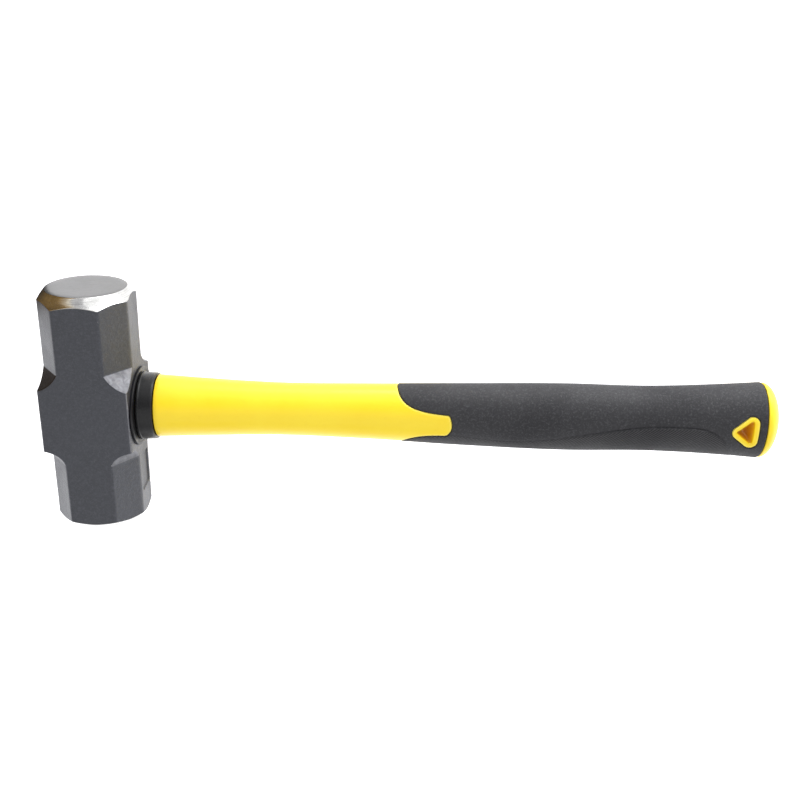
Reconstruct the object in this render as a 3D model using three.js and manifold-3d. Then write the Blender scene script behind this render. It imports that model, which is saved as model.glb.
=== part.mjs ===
// A one-handed sledgehammer, lying on one cheek of its head.
//
// Frame, in millimetres: +X runs along the handle from the head to the butt, +Y along the head towards
// one striking face, and +Z is up. The origin is on the resting cheek, straight under the head's
// middle. The pieces are drawn about the head's middle, and the whole is then lifted by half its depth.
import * as THREE from "three";
import { mergeVertices } from "three/addons/utils/BufferGeometryUtils.js";
import Module from "manifold-3d";

const wasm = await Module();
wasm.setup();

// ---------------------------------------------------------------- driving dimensions
// Head: an oblong bar, octagonal at both poles and left square at the cheeks
const HEAD_LENGTH = 130;
const HEAD_WIDTH = 47;
const HEAD_DEPTH = 50;
const POLE_CHAMFER_ACROSS = 11.5;
const POLE_CHAMFER_DOWN = 15;
const CHEEK_DROP = 1.8;
const CHEEK_HALF_LENGTH = 17;
const SCOOP_LENGTH = 9.4;
const SCOOP_SWEEP = THREE.MathUtils.degToRad(76);
const SCOOP_STEPS = 6;
const EDGE_BREAK = 0.7;
// Striking faces: a flat circle inside a steep ground bevel, then a gentler one that rounds the
// octagon's corners. Together they leave a scalloped edge on the eight sides.
const FACE_RADIUS = 21;
const BEVEL_RADIUS = 24.6;
const BEVEL_DEPTH = 4.4;
const CORNER_RADIUS = 31;
const CORNER_DEPTH = 7.7;
const GRIND_SEGMENTS = 72;
// Sunken panel on the handle side of one pole
const PANEL_CENTRE = -39.5;
const PANEL_LENGTH = 20;
const PANEL_WIDTH = 14;
const PANEL_DEPTH = 0.8;

// Eye, core and potting: ovals given by half height (Y) and half depth (Z)
const EYE_HANDLE_SIDE = { tall: 14, deep: 11.5 };
const EYE_FAR_SIDE = { tall: 16, deep: 13.5 };
const CORE = { tall: 11, deep: 8.5 };
const CORE_END = 330;
const POTTING_RECESS = 0.6;

// Gap kept between pieces that touch on the real tool
const GAP = 0.3;

// Seal ring and collar, where the handle leaves the head
const HANDLE_DROP = 1.3;
const SEAL_RING = { tall: 20.8, deep: 24 };
const SEAL_THICKNESS = 1;
const SEAL_EDGE = 0.3;
const COLLAR_END = 33.4;
const COLLAR_AT_HEAD = 18.4;
const COLLAR_AT_HANDLE = 17.9;
const COLLAR_WALL = 3.4;
const COLLAR_EDGE = 0.5;

// Outside of the handle: where, half height, half depth, and how far the centre hangs below the eye's
const HANDLE_STATIONS = [
  { x: 34, tall: 17.0, deep: 16.5, drop: 1.1 },
  { x: 60, tall: 15.8, deep: 14.6, drop: 1.3 },
  { x: 98, tall: 14.6, deep: 12.9, drop: 1.5 },
  { x: 146, tall: 15.4, deep: 13.2, drop: 1.8 },
  { x: 194, tall: 17.0, deep: 14.5, drop: 2.4 },
  { x: 254, tall: 18.4, deep: 15.7, drop: 2.6 },
  { x: 298, tall: 17.9, deep: 15.3, drop: 2.4 },
  { x: 338, tall: 19.6, deep: 16.7, drop: 2.1 },
  { x: 358, tall: 21.0, deep: 17.9, drop: 2.0 },
];
const HANDLE_STEP = 12;
const SECTION_POINTS = 36;

// Grip: a sleeve over the jacket, cut back at its front round the jacket's tab
const GRIP_START = 162;
const GRIP_END = 357.4;
const GRIP_WALL = 3;
const GRIP_END_ROUND = 1.2;
const TAB_END = 191.6;
const TAB_TOP = 2.2;
const TAB_BOTTOM = -10.2;
const TAB_CORNER = 2.4;
const TAB_SLANT = 1.4;
// The two curves that sweep from the grip's front edge onto the tab: the heights where they leave the
// edge, and their handles, measured along the handle from the edge and outward from the tab's side
const UPPER_SWEEP_START = 15;
const UPPER_SWEEP = [{ along: 2.5, out: 3.3 }, { along: 12, out: 1 }];
const LOWER_SWEEP_START = -19;
const LOWER_SWEEP = [{ along: 13.6, out: 0.2 }, { along: 6, out: 2 }];
const OUTLINE_POINTS = 10;

// Butt: the jacket shows again past the grip as a low dome
const BUTT_DOME = 9.1;
const BUTT_INSET = 0.5;
const BUTT_STEPS = 6;
const BUTT_TURN = THREE.MathUtils.degToRad(84);

// Hanging hole: a rounded triangle that points at the head, inside a rim of the jacket
const HOLE_BASE = 350.5;
const HOLE_TIP = 341.4;
const HOLE_HALF_HEIGHT = 7.6;
const HOLE_ROUND = 1;
const HOLE_RIM = 2.7;
const HOLE_DROP = 3;

// Length of a cut that goes through the handle, and how far other cuts run past the face they open
const THROUGH = 60;
const OVERCUT = 1;

// ---------------------------------------------------------------- solids
// A closed geometry as a solid that can be joined and cut
function toSolid(geometry) {
  const bare = geometry.clone();
  bare.deleteAttribute("normal");
  bare.deleteAttribute("uv");
  const merged = mergeVertices(bare, 1e-4);
  return new wasm.Manifold(new wasm.Mesh({
    numProp: 3,
    vertProperties: merged.attributes.position.array,
    triVerts: merged.index.array,
  }));
}

// A named mesh from a solid, with its own material
function piece(name, solid, colour, roughness, metalness) {
  const { vertProperties, triVerts } = solid.getMesh();
  const geometry = new THREE.BufferGeometry();
  geometry.setAttribute("position", new THREE.BufferAttribute(new Float32Array(vertProperties), 3));
  geometry.setIndex(new THREE.BufferAttribute(new Uint32Array(triVerts), 1));
  geometry.computeVertexNormals();
  const material = new THREE.MeshStandardMaterial({ color: colour, roughness, metalness });
  const mesh = new THREE.Mesh(geometry, material);
  mesh.name = name;
  return mesh;
}

// A skin through rings of equal length, each turning anticlockwise about the way the rings advance
function loft(rings) {
  const count = rings[0].length;
  const points = rings.flat();
  const index = [];
  for (let ring = 0; ring < rings.length - 1; ring += 1) {
    for (let i = 0; i < count; i += 1) {
      const next = (i + 1) % count;
      const near = ring * count;
      const far = near + count;
      index.push(near + i, near + next, far + next);
      index.push(near + i, far + next, far + i);
    }
  }
  const last = (rings.length - 1) * count;
  for (let i = 1; i < count - 1; i += 1) {
    index.push(0, i + 1, i);
    index.push(last, last + i, last + i + 1);
  }
  const geometry = new THREE.BufferGeometry().setFromPoints(points);
  geometry.setIndex(index);
  return toSolid(geometry);
}

// An oval ring square to the handle
function ovalRing({ x, tall, deep, drop = 0 }) {
  return Array.from({ length: SECTION_POINTS }, (_, i) => {
    const angle = (i / SECTION_POINTS) * 2 * Math.PI;
    return new THREE.Vector3(x, tall * Math.cos(angle) - drop, deep * Math.sin(angle));
  });
}

function ovalLoft(ovals) {
  return loft(ovals.map(ovalRing));
}

// A straight oval bar along X
function ovalBar(from, to, { tall, deep }, drop = 0) {
  return ovalLoft([from, to].map((x) => ({ x, tall, deep, drop })));
}

function grown({ tall, deep }, by) {
  return { tall: tall + by, deep: deep + by };
}

// A flat outline in X and Y carried through the whole handle along Z
function prism(shape) {
  const geometry = new THREE.ExtrudeGeometry(shape, {
    depth: THROUGH,
    bevelEnabled: false,
    curveSegments: OUTLINE_POINTS,
  });
  geometry.translate(0, 0, -THROUGH / 2);
  return toSolid(geometry);
}

// ---------------------------------------------------------------- head
// How much of the full corner chamfer is left at a place along the head
function chamferShare(y) {
  const fromCheek = Math.abs(y + CHEEK_DROP);
  const run = (CHEEK_HALF_LENGTH + SCOOP_LENGTH - fromCheek) / SCOOP_LENGTH;
  const along = THREE.MathUtils.clamp(run, 0, 1);
  const turn = Math.asin(along * Math.sin(SCOOP_SWEEP));
  return 1 - (1 - Math.cos(turn)) / (1 - Math.cos(SCOOP_SWEEP));
}

// The head's eight-cornered section at a place along it
function headRing(y) {
  const share = chamferShare(y);
  const across = Math.max(POLE_CHAMFER_ACROSS * share, EDGE_BREAK);
  const down = Math.max(POLE_CHAMFER_DOWN * share, EDGE_BREAK);
  const wide = HEAD_WIDTH / 2;
  const deep = HEAD_DEPTH / 2;
  return [
    [wide - across, deep], [wide, deep - down],
    [wide, down - deep], [wide - across, -deep],
    [across - wide, -deep], [-wide, down - deep],
    [-wide, deep - down], [across - wide, deep],
  ].map(([x, z]) => new THREE.Vector3(x, y, z));
}

function headBar() {
  const fromCheek = Array.from({ length: SCOOP_STEPS + 1 }, (_, step) => (
    CHEEK_HALF_LENGTH + SCOOP_LENGTH * (step / SCOOP_STEPS)
  ));
  const lower = fromCheek.map((run) => -run - CHEEK_DROP).reverse();
  const upper = fromCheek.map((run) => run - CHEEK_DROP);
  const end = HEAD_LENGTH / 2;
  return loft([-end, ...lower, ...upper, end].map(headRing));
}

// The round envelope that grinding leaves: full length at the striking circle, less outside it
function grindEnvelope() {
  const end = HEAD_LENGTH / 2;
  const half = [
    [0, 0],
    [FACE_RADIUS, 0],
    [BEVEL_RADIUS, BEVEL_DEPTH],
    [CORNER_RADIUS, CORNER_DEPTH],
    [CORNER_RADIUS + HEAD_DEPTH, CORNER_DEPTH],
  ];
  const lower = half.map(([radius, depth]) => new THREE.Vector2(radius, depth - end));
  const upper = half.map(([radius, depth]) => new THREE.Vector2(radius, end - depth)).reverse();
  return toSolid(new THREE.LatheGeometry([...lower, ...upper], GRIND_SEGMENTS));
}

// The eye's oval at x. It widens away from the handle, so the set resin can't pull through.
function eyeOval(x, inset = 0) {
  const share = 0.5 - x / HEAD_WIDTH;
  return {
    x,
    tall: THREE.MathUtils.lerp(EYE_HANDLE_SIDE.tall, EYE_FAR_SIDE.tall, share) - inset,
    deep: THREE.MathUtils.lerp(EYE_HANDLE_SIDE.deep, EYE_FAR_SIDE.deep, share) - inset,
    drop: HANDLE_DROP,
  };
}

function eyeCut() {
  const past = HEAD_WIDTH / 2 + OVERCUT;
  return ovalLoft([eyeOval(-past), eyeOval(past)]);
}

function panelCut() {
  const box = new THREE.BoxGeometry(2 * PANEL_DEPTH, PANEL_LENGTH, PANEL_WIDTH);
  box.translate(HEAD_WIDTH / 2, PANEL_CENTRE, 0);
  return toSolid(box);
}

function hammerHead() {
  const solid = headBar().intersect(grindEnvelope()).subtract(eyeCut()).subtract(panelCut());
  return piece("hammer_head", solid, 0x46474c, 0.45, 0.4);
}

// ---------------------------------------------------------------- eye
function epoxyPotting() {
  const ends = [-HEAD_WIDTH / 2 + POTTING_RECESS, HEAD_WIDTH / 2];
  const plug = ovalLoft(ends.map((x) => eyeOval(x, GAP)));
  const bore = ovalBar(-HEAD_WIDTH, HEAD_WIDTH, grown(CORE, GAP), HANDLE_DROP);
  return piece("epoxy_potting", plug.subtract(bore), 0x2b2a28, 0.35, 0);
}

function handleCore() {
  const solid = ovalBar(-HEAD_WIDTH / 2 + POTTING_RECESS, CORE_END, CORE, HANDLE_DROP);
  return piece("handle_core", solid, 0xc9b458, 0.5, 0);
}

// ---------------------------------------------------------------- seal ring and collar
const SEAL_START = HEAD_WIDTH / 2 + GAP;
const SEAL_END = SEAL_START + SEAL_THICKNESS;

function eyeSealRing() {
  const drop = HANDLE_DROP;
  const disc = ovalLoft([
    { x: SEAL_START, ...SEAL_RING, drop },
    { x: SEAL_END - SEAL_EDGE, ...SEAL_RING, drop },
    { x: SEAL_END, ...grown(SEAL_RING, -SEAL_EDGE), drop },
  ]);
  const bore = ovalBar(0, COLLAR_END, grown(CORE, GAP), drop);
  return piece("eye_seal_ring", disc.subtract(bore), 0x1f2022, 0.5, 0);
}

function round(radius) {
  return { tall: radius, deep: radius };
}

function neckCollar() {
  const start = SEAL_END + GAP;
  const drop = HANDLE_DROP;
  const sleeve = ovalLoft([
    { x: start, ...round(COLLAR_AT_HEAD), drop },
    { x: COLLAR_END - COLLAR_EDGE, ...round(COLLAR_AT_HANDLE), drop },
    { x: COLLAR_END, ...round(COLLAR_AT_HANDLE - COLLAR_EDGE), drop },
  ]);
  const bore = ovalBar(0, COLLAR_END + OVERCUT, round(COLLAR_AT_HANDLE - COLLAR_WALL), drop);
  return piece("neck_collar", sleeve.subtract(bore), 0x26262a, 0.5, 0);
}

// ---------------------------------------------------------------- handle
const stationCurve = new THREE.CubicInterpolant(
  HANDLE_STATIONS.map(({ x }) => x),
  HANDLE_STATIONS.flatMap(({ tall, deep, drop }) => [tall, deep, drop]),
  3,
);

// The handle's outer oval at x, smaller all round by the inset
function handleOval(x, inset = 0) {
  const [tall, deep, drop] = stationCurve.evaluate(x);
  return { x, tall: tall - inset, deep: deep - inset, drop };
}

function handleRun(from, to, inset = 0) {
  const steps = Math.max(1, Math.round((to - from) / HANDLE_STEP));
  const pitch = (to - from) / steps;
  return Array.from({ length: steps + 1 }, (_, i) => handleOval(from + pitch * i, inset));
}

// The side of the handle that stays yellow at the grip's front: everything this side of the tab's edge
function tabOutline(grow = 0) {
  const start = GRIP_START + grow;
  const end = TAB_END + grow;
  const top = TAB_TOP + grow;
  const bottom = TAB_BOTTOM - grow;
  const lowEnd = end - TAB_SLANT;
  const [upperNear, upperFar] = UPPER_SWEEP;
  const [lowerFar, lowerNear] = LOWER_SWEEP;
  const shape = new THREE.Shape();
  shape.moveTo(0, THROUGH);
  shape.lineTo(start, THROUGH);
  shape.lineTo(start, UPPER_SWEEP_START);
  shape.bezierCurveTo(
    start + upperNear.along, top + upperNear.out,
    start + upperFar.along, top + upperFar.out,
    end - TAB_CORNER, top,
  );
  shape.quadraticCurveTo(end, top, end, top - TAB_CORNER);
  shape.lineTo(lowEnd, bottom + TAB_CORNER);
  shape.quadraticCurveTo(lowEnd, bottom, lowEnd - TAB_CORNER, bottom);
  shape.bezierCurveTo(
    start + lowerFar.along, bottom - lowerFar.out,
    start + lowerNear.along, bottom - lowerNear.out,
    start, LOWER_SWEEP_START,
  );
  shape.lineTo(start, -THROUGH);
  shape.lineTo(0, -THROUGH);
  shape.closePath();
  return shape;
}

// The hanging hole's outline, larger all round by the rim that is asked for
function holeOutline(grow) {
  const length = HOLE_BASE - HOLE_TIP;
  const slant = Math.hypot(length, HOLE_HALF_HEIGHT);
  const inner = (HOLE_HALF_HEIGHT * length) / (HOLE_HALF_HEIGHT + slant);
  const scale = (inner + grow) / inner;
  const base = HOLE_BASE + grow;
  const tip = new THREE.Vector2(base - length * scale, -HOLE_DROP);
  const upper = new THREE.Vector2(base, HOLE_HALF_HEIGHT * scale - HOLE_DROP);
  const lower = new THREE.Vector2(base, -HOLE_HALF_HEIGHT * scale - HOLE_DROP);
  return roundedOutline([tip, lower, upper], HOLE_ROUND + grow);
}

// A closed outline whose corners are rounded to a radius
function roundedOutline(corners, radius) {
  const shape = new THREE.Shape();
  corners.forEach((corner, i) => {
    const before = corners[(i + corners.length - 1) % corners.length];
    const after = corners[(i + 1) % corners.length];
    const back = before.clone().sub(corner).normalize();
    const ahead = after.clone().sub(corner).normalize();
    const half = Math.acos(back.dot(ahead)) / 2;
    const enter = corner.clone().addScaledVector(back, radius / Math.tan(half));
    const inward = back.clone().add(ahead).normalize();
    const centre = corner.clone().addScaledVector(inward, radius / Math.sin(half));
    const leave = corner.clone().addScaledVector(ahead, radius / Math.tan(half));
    const from = enter.sub(centre).angle();
    const to = leave.sub(centre).angle();
    shape.absarc(centre.x, centre.y, radius, from, to, false);
  });
  shape.closePath();
  return shape;
}

// The grip's bore and the jacket inside it follow the same ovals, a gap apart
function sleeveRun(inset) {
  const run = handleRun(GRIP_START - HANDLE_STEP, GRIP_END, inset);
  return [...run, { ...run.at(-1), x: GRIP_END + OVERCUT }];
}

function butt() {
  const foot = handleOval(GRIP_END, BUTT_INSET);
  const ovals = Array.from({ length: BUTT_STEPS + 1 }, (_, step) => {
    const turn = (step / BUTT_STEPS) * BUTT_TURN;
    const share = Math.cos(turn);
    return {
      x: GRIP_END + GAP + BUTT_DOME * Math.sin(turn),
      tall: foot.tall * share,
      deep: foot.deep * share,
      drop: foot.drop,
    };
  });
  return ovalLoft(ovals);
}

function handleJacket() {
  const outer = ovalLoft(handleRun(COLLAR_END + GAP, GRIP_END - GRIP_END_ROUND));
  const shown = outer.intersect(prism(tabOutline()));
  const underGrip = ovalLoft(sleeveRun(GRIP_WALL));
  const boss = outer.intersect(prism(holeOutline(HOLE_RIM)));
  const spigot = round(COLLAR_AT_HANDLE - COLLAR_WALL - GAP);
  const neck = ovalBar(SEAL_END + GAP, COLLAR_END + OVERCUT, spigot, HANDLE_DROP);
  const bore = ovalBar(0, CORE_END + GAP, grown(CORE, GAP), HANDLE_DROP);
  const solid = shown.add(underGrip).add(boss).add(neck).add(butt())
    .subtract(bore).subtract(prism(holeOutline(0)));
  return piece("handle_jacket", solid, 0xf7d92b, 0.35, 0);
}

function gripSleeve() {
  const rounded = handleOval(GRIP_END, GRIP_END_ROUND);
  const outer = ovalLoft([...handleRun(GRIP_START - HANDLE_STEP, GRIP_END - GRIP_END_ROUND), rounded]);
  const sleeve = sleeveRun(GRIP_WALL - GAP);
  const bore = ovalLoft([{ ...sleeve[0], x: sleeve[0].x - OVERCUT }, ...sleeve]);
  const tabWindow = prism(tabOutline(GAP));
  const rimWindow = prism(holeOutline(HOLE_RIM + GAP));
  const solid = outer.subtract(bore).subtract(tabWindow).subtract(rimWindow);
  return piece("grip", solid, 0x3a3a3e, 0.85, 0);
}

// ---------------------------------------------------------------- assembly
const sledgehammer = new THREE.Group();
sledgehammer.position.z = HEAD_DEPTH / 2;
sledgehammer.add(
  hammerHead(),
  epoxyPotting(),
  handleCore(),
  eyeSealRing(),
  neckCollar(),
  handleJacket(),
  gripSleeve(),
);
sledgehammer.updateMatrixWorld(true);

export default sledgehammer;
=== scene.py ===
"""A one-handed sledgehammer: forged octagonal head, bonded fibreglass core, yellow jacket, black grip.

Shapes are drawn in millimetres about the middle of the head, with X along the handle and Y along the
head, and are then placed in the frame in metres.
"""
import logging
import math
from dataclasses import dataclass, field
from enum import Enum, auto
from itertools import chain
from typing import ClassVar

import bpy
import numpy as np
from mathutils import Euler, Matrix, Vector, noise


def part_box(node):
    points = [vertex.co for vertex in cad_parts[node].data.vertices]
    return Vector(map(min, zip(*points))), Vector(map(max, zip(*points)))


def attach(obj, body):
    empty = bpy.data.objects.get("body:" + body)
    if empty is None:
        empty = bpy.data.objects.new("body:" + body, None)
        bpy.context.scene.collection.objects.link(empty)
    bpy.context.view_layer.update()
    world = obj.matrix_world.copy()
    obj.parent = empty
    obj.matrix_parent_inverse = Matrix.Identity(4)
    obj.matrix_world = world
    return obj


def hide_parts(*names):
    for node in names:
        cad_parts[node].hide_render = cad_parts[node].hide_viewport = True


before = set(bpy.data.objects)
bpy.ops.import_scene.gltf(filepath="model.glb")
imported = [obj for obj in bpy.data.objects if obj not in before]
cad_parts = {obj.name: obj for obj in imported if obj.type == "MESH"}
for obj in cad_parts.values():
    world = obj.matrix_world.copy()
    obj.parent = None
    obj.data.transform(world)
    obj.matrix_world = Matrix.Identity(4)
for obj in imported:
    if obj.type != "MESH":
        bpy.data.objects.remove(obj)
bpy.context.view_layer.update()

MM = 0.001
TURN = 2 * math.pi
BODY = "root"
log = logging.getLogger("sledgehammer")

# Sizes in millimetres that several pieces share
HEAD_LOW, HEAD_HIGH = (np.array(corner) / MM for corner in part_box("hammer_head"))
SEAL_LOW, SEAL_HIGH = (np.array(corner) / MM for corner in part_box("eye_seal_ring"))
COLLAR_LOW, COLLAR_HIGH = (np.array(corner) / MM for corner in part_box("neck_collar"))
LIFT = (HEAD_LOW[2] + HEAD_HIGH[2]) / 2
DROP = 1.3
CORE_TALL, CORE_DEEP = 11.0, 8.5
RECESS = 0.6


# ---------------------------------------------------------------- shapes
def smoothstep(low: float, high: float, value: np.ndarray) -> np.ndarray:
    """Rises from 0 at low to 1 at high, level at both ends.

    Args:
        low: Where the rise starts.
        high: Where it ends.
        value: The values to map.

    Returns:
        The share for each value.
    """
    share = np.clip((value - low) / (high - low), 0, 1)
    return share * share * (3 - 2 * share)


def smooth_max(first: np.ndarray, second: np.ndarray, width: float | np.ndarray) -> np.ndarray:
    """The larger of two distances, rounded where they are close, so that an edge becomes a fillet.

    Args:
        first: Signed distance to one face.
        second: Signed distance to the other.
        width: How far from the edge the rounding starts.

    Returns:
        The signed distance to the rounded solid.
    """
    near = np.maximum(width - np.abs(first - second), 0) / width
    return np.maximum(first, second) + near * near * width / 4


def eased(count: int) -> np.ndarray:
    """Steps from 0 to 1, close together at both ends and wide in the middle.

    Args:
        count: The number of steps.

    Returns:
        count + 1 shares.
    """
    return (1 - np.cos(np.linspace(0, math.pi, count + 1))) / 2


def bezier(points: list[tuple[float, float]], count: int) -> list[tuple[float, float]]:
    """Points along a Bezier curve of any degree, without its last one.

    Args:
        points: The curve's control points.
        count: How many points to give.

    Returns:
        The points, in order.
    """
    degree = len(points) - 1
    shares = np.linspace(0, 1, count, endpoint=False)
    weights = [math.comb(degree, i) * shares**i * (1 - shares) ** (degree - i) for i in range(degree + 1)]
    return [tuple(p) for p in np.stack(weights, 1) @ np.array(points)]


def hermite(x: np.ndarray, known: np.ndarray, values: np.ndarray, slopes: np.ndarray) -> np.ndarray:
    """Smooth curves through known values with known slopes.

    Args:
        x: Where to read the curves, inside the known places.
        known: The known places, rising.
        values: One row of values for each of them.
        slopes: The curves' slopes there.

    Returns:
        One row of values for each x.
    """
    i = np.clip(np.searchsorted(known, x) - 1, 0, len(known) - 2)
    gap = (known[i + 1] - known[i])[..., None]
    t = (x - known[i])[..., None] / gap
    start = (1 + 2 * t) * (1 - t) ** 2 * values[i] + t * (1 - t) ** 2 * gap * slopes[i]
    end = t**2 * (3 - 2 * t) * values[i + 1] + t**2 * (t - 1) * gap * slopes[i + 1]
    return start + end


def rounded(corners: list[tuple[float, float]], radius: float, steps: int = 8) -> np.ndarray:
    """A closed outline with its corners turned into arcs.

    Args:
        corners: The corners, in order.
        radius: The arcs' radius.
        steps: Segments in each arc.

    Returns:
        The outline's points, one row each.
    """
    made = []
    points = [np.array(c, float) for c in corners]
    for i, corner in enumerate(points):
        back = points[i - 1] - corner
        ahead = points[(i + 1) % len(points)] - corner
        back, ahead = back / np.linalg.norm(back), ahead / np.linalg.norm(ahead)
        half = math.acos(np.clip(back @ ahead, -1, 1)) / 2
        middle = (back + ahead) / np.linalg.norm(back + ahead)
        centre = corner + middle * radius / math.sin(half)
        reach = radius / math.tan(half)
        start, end = corner + back * reach - centre, corner + ahead * reach - centre
        first = math.atan2(start[1], start[0])
        sweep = (math.atan2(end[1], end[0]) - first + math.pi) % TURN - math.pi
        for share in np.linspace(0, 1, steps + 1):
            angle = first + sweep * share
            made.append(centre + radius * np.array([math.cos(angle), math.sin(angle)]))
    return np.array(made)


def signed_distance(x: np.ndarray, y: np.ndarray, outline: np.ndarray) -> np.ndarray:
    """Distance to a closed outline, below zero inside it.

    Args:
        x: First coordinate of each place.
        y: Second coordinate of each place.
        outline: The outline's points, one row each.

    Returns:
        The distance at each place.
    """
    best = np.full(x.shape, np.inf)
    inside = np.zeros(x.shape, bool)
    for (ax, ay), (bx, by) in zip(outline, np.roll(outline, -1, 0)):
        ex, ey = bx - ax, by - ay
        size = ex * ex + ey * ey
        if size < 1e-12:
            continue
        share = np.clip(((x - ax) * ex + (y - ay) * ey) / size, 0, 1)
        best = np.minimum(best, (x - ax - share * ex) ** 2 + (y - ay - share * ey) ** 2)
        if ay != by:
            crosses = (ay > y) != (by > y)
            inside ^= crosses & (x < ex * (y - ay) / ey + ax)
    return np.where(inside, -1, 1) * np.sqrt(best)


def edge_round(distance: np.ndarray, radius: float) -> np.ndarray:
    """How far a rounded edge falls away at a distance in from it."""
    near = np.clip(radius - distance, 0, radius)
    return radius - np.sqrt(radius**2 - near**2)


def spaced(*runs: tuple[float, float, float]) -> np.ndarray:
    """Places along the handle, from runs that each give a start, an end and a spacing."""
    parts = [np.linspace(a, b, max(2, round((b - a) / gap) + 1))[:-1] for a, b, gap in runs]
    return np.concatenate([*parts, [runs[-1][1]]])


class Builder:
    """Collects the vertices and faces of one closed piece, in millimetres about the head's middle."""

    def __init__(self) -> None:
        """Starts with nothing in it."""
        self.parts: list[np.ndarray] = []
        self.count = 0
        self.faces: list[list[int]] = []
        self.used = np.arange(0)

    def points(self, places: np.ndarray) -> np.ndarray:
        """Adds vertices.

        Args:
            places: Their places, with X, Y and Z last.

        Returns:
            Their numbers, in the same layout.
        """
        shape = places.shape[:-1]
        flat = places.reshape(-1, 3)
        ids = np.arange(self.count, self.count + len(flat)).reshape(shape)
        self.parts.append(flat)
        self.count += len(flat)
        return ids

    def bridge(self, first: np.ndarray, second: np.ndarray) -> None:
        """Quads between two closed rings whose points turn from Y towards Z, the second further along X.

        Args:
            first: The near ring's vertex numbers.
            second: The far ring's vertex numbers.
        """
        quads = np.stack([first, np.roll(first, -1), np.roll(second, -1), second], 1)
        self.faces.extend(quads.tolist())

    def cap(self, ring: np.ndarray, centre: np.ndarray, far: bool) -> None:
        """Closes a ring with a fan of triangles.

        Args:
            ring: The ring's vertex numbers.
            centre: The place of the fan's middle.
            far: True at the end that faces +X.
        """
        middle = int(self.points(centre.reshape(1, 3))[0])
        pairs = zip(ring.tolist(), np.roll(ring, -1).tolist())
        self.faces.extend([a, b, middle] if far else [b, a, middle] for a, b in pairs)

    def rings(self, places: np.ndarray, looped: bool = False) -> np.ndarray:
        """Adds rings and the quads between them.

        Args:
            places: The rings, one after another.
            looped: True if the last ring joins the first, as in a tube with a wall.

        Returns:
            The rings' vertex numbers.
        """
        ids = self.points(places)
        for near, far in zip(ids, ids[1:]):
            self.bridge(near, far)
        if looped:
            self.bridge(ids[-1], ids[0])
        return ids

    def mesh(self, name: str, crease: float = 38) -> bpy.types.Object:
        """The finished piece as an object in the frame, without the vertices that no face uses.

        Args:
            name: The object's name.
            crease: Edges that bend more than this many degrees are shown sharp.

        Returns:
            The new object.
        """
        self.used = np.unique(list(chain.from_iterable(self.faces)))
        number = np.zeros(self.count, int)
        number[self.used] = np.arange(len(self.used))
        number = number.tolist()
        faces = [[number[v] for v in face] for face in self.faces]
        places = np.concatenate(self.parts)[self.used] + np.array([0, 0, LIFT])
        data = bpy.data.meshes.new(name)
        data.from_pydata((places * MM).tolist(), [], faces)
        data.validate()
        data.shade_smooth()
        data.set_sharp_from_angle(angle=math.radians(crease))
        made = bpy.data.objects.new(name, data)
        bpy.context.scene.collection.objects.link(made)
        return made


def oval_rings(
    x: np.ndarray, tall: np.ndarray, deep: np.ndarray, drop: np.ndarray, turns: np.ndarray
) -> np.ndarray:
    """Oval rings square to the handle. Sizes are rows, turns are columns, and all of them broadcast.

    Args:
        x: Place along the handle.
        tall: Half height.
        deep: Half depth.
        drop: How far the ring's middle hangs below the head's.
        turns: Angle of each point, from Y towards Z.

    Returns:
        The points, with X, Y and Z last.
    """
    y = tall * np.cos(turns) - drop
    z = deep * np.sin(turns)
    return np.stack(np.broadcast_arrays(x, y, z), -1)


def turns(count: int) -> np.ndarray:
    """The angles of a full ring of points."""
    return np.arange(count) * TURN / count


def profile_ring(
    profile: np.ndarray, outer: tuple[float, float], inner: tuple[float, float], columns: int = 192
) -> np.ndarray:
    """Rings for a tube with a wall, from the closed section of that wall at its tallest point.

    Args:
        profile: The section, as place along X and depth in from the outer oval.
        outer: The outer oval's half height and half depth.
        inner: The bore's half height and half depth.
        columns: Points in each ring.

    Returns:
        The rings.
    """
    along, depth = profile[:, :1], profile[:, 1:]
    wall = outer[0] - inner[0]
    near = depth < wall / 2
    sizes = [np.where(near, out - depth, bore + wall - depth) for out, bore in zip(outer, inner)]
    return oval_rings(along, *sizes, np.array(DROP), turns(columns)[None])


def cut(piece: bpy.types.Object, tool: bpy.types.Object) -> None:
    """Takes one solid out of another and removes the tool.

    Args:
        piece: The piece that is cut, which keeps its name.
        tool: The solid that is taken away.
    """
    step = piece.modifiers.new("cut", "BOOLEAN")
    step.operation, step.solver, step.object = "DIFFERENCE", "MANIFOLD", tool
    slots = len(piece.data.materials)
    ready = piece.evaluated_get(bpy.context.evaluated_depsgraph_get())
    result = bpy.data.meshes.new_from_object(ready)
    piece.modifiers.clear()
    kinds = np.empty(len(result.polygons), np.int32)
    result.polygons.foreach_get("material_index", kinds)
    result.polygons.foreach_set("material_index", np.where(kinds < slots, kinds, 0).astype(np.int32))
    while len(result.materials) > slots:
        result.materials.pop()
    old, piece.data = piece.data, result
    result.name = piece.name
    bpy.data.meshes.remove(old)
    bpy.data.meshes.remove(tool.data)


def write_value(piece: bpy.types.Object, name: str, values: np.ndarray) -> None:
    """Stores one number for each vertex, for a material to read."""
    piece.data.attributes.new(name, "FLOAT", "POINT").data.foreach_set("value", values.astype(np.float32))


def places_of(piece: bpy.types.Object) -> np.ndarray:
    """The piece's vertices, in millimetres about the head's middle."""
    found = np.empty(len(piece.data.vertices) * 3, np.float32)
    piece.data.vertices.foreach_get("co", found)
    return found.reshape(-1, 3).astype(float) / MM - np.array([0, 0, LIFT])


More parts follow.
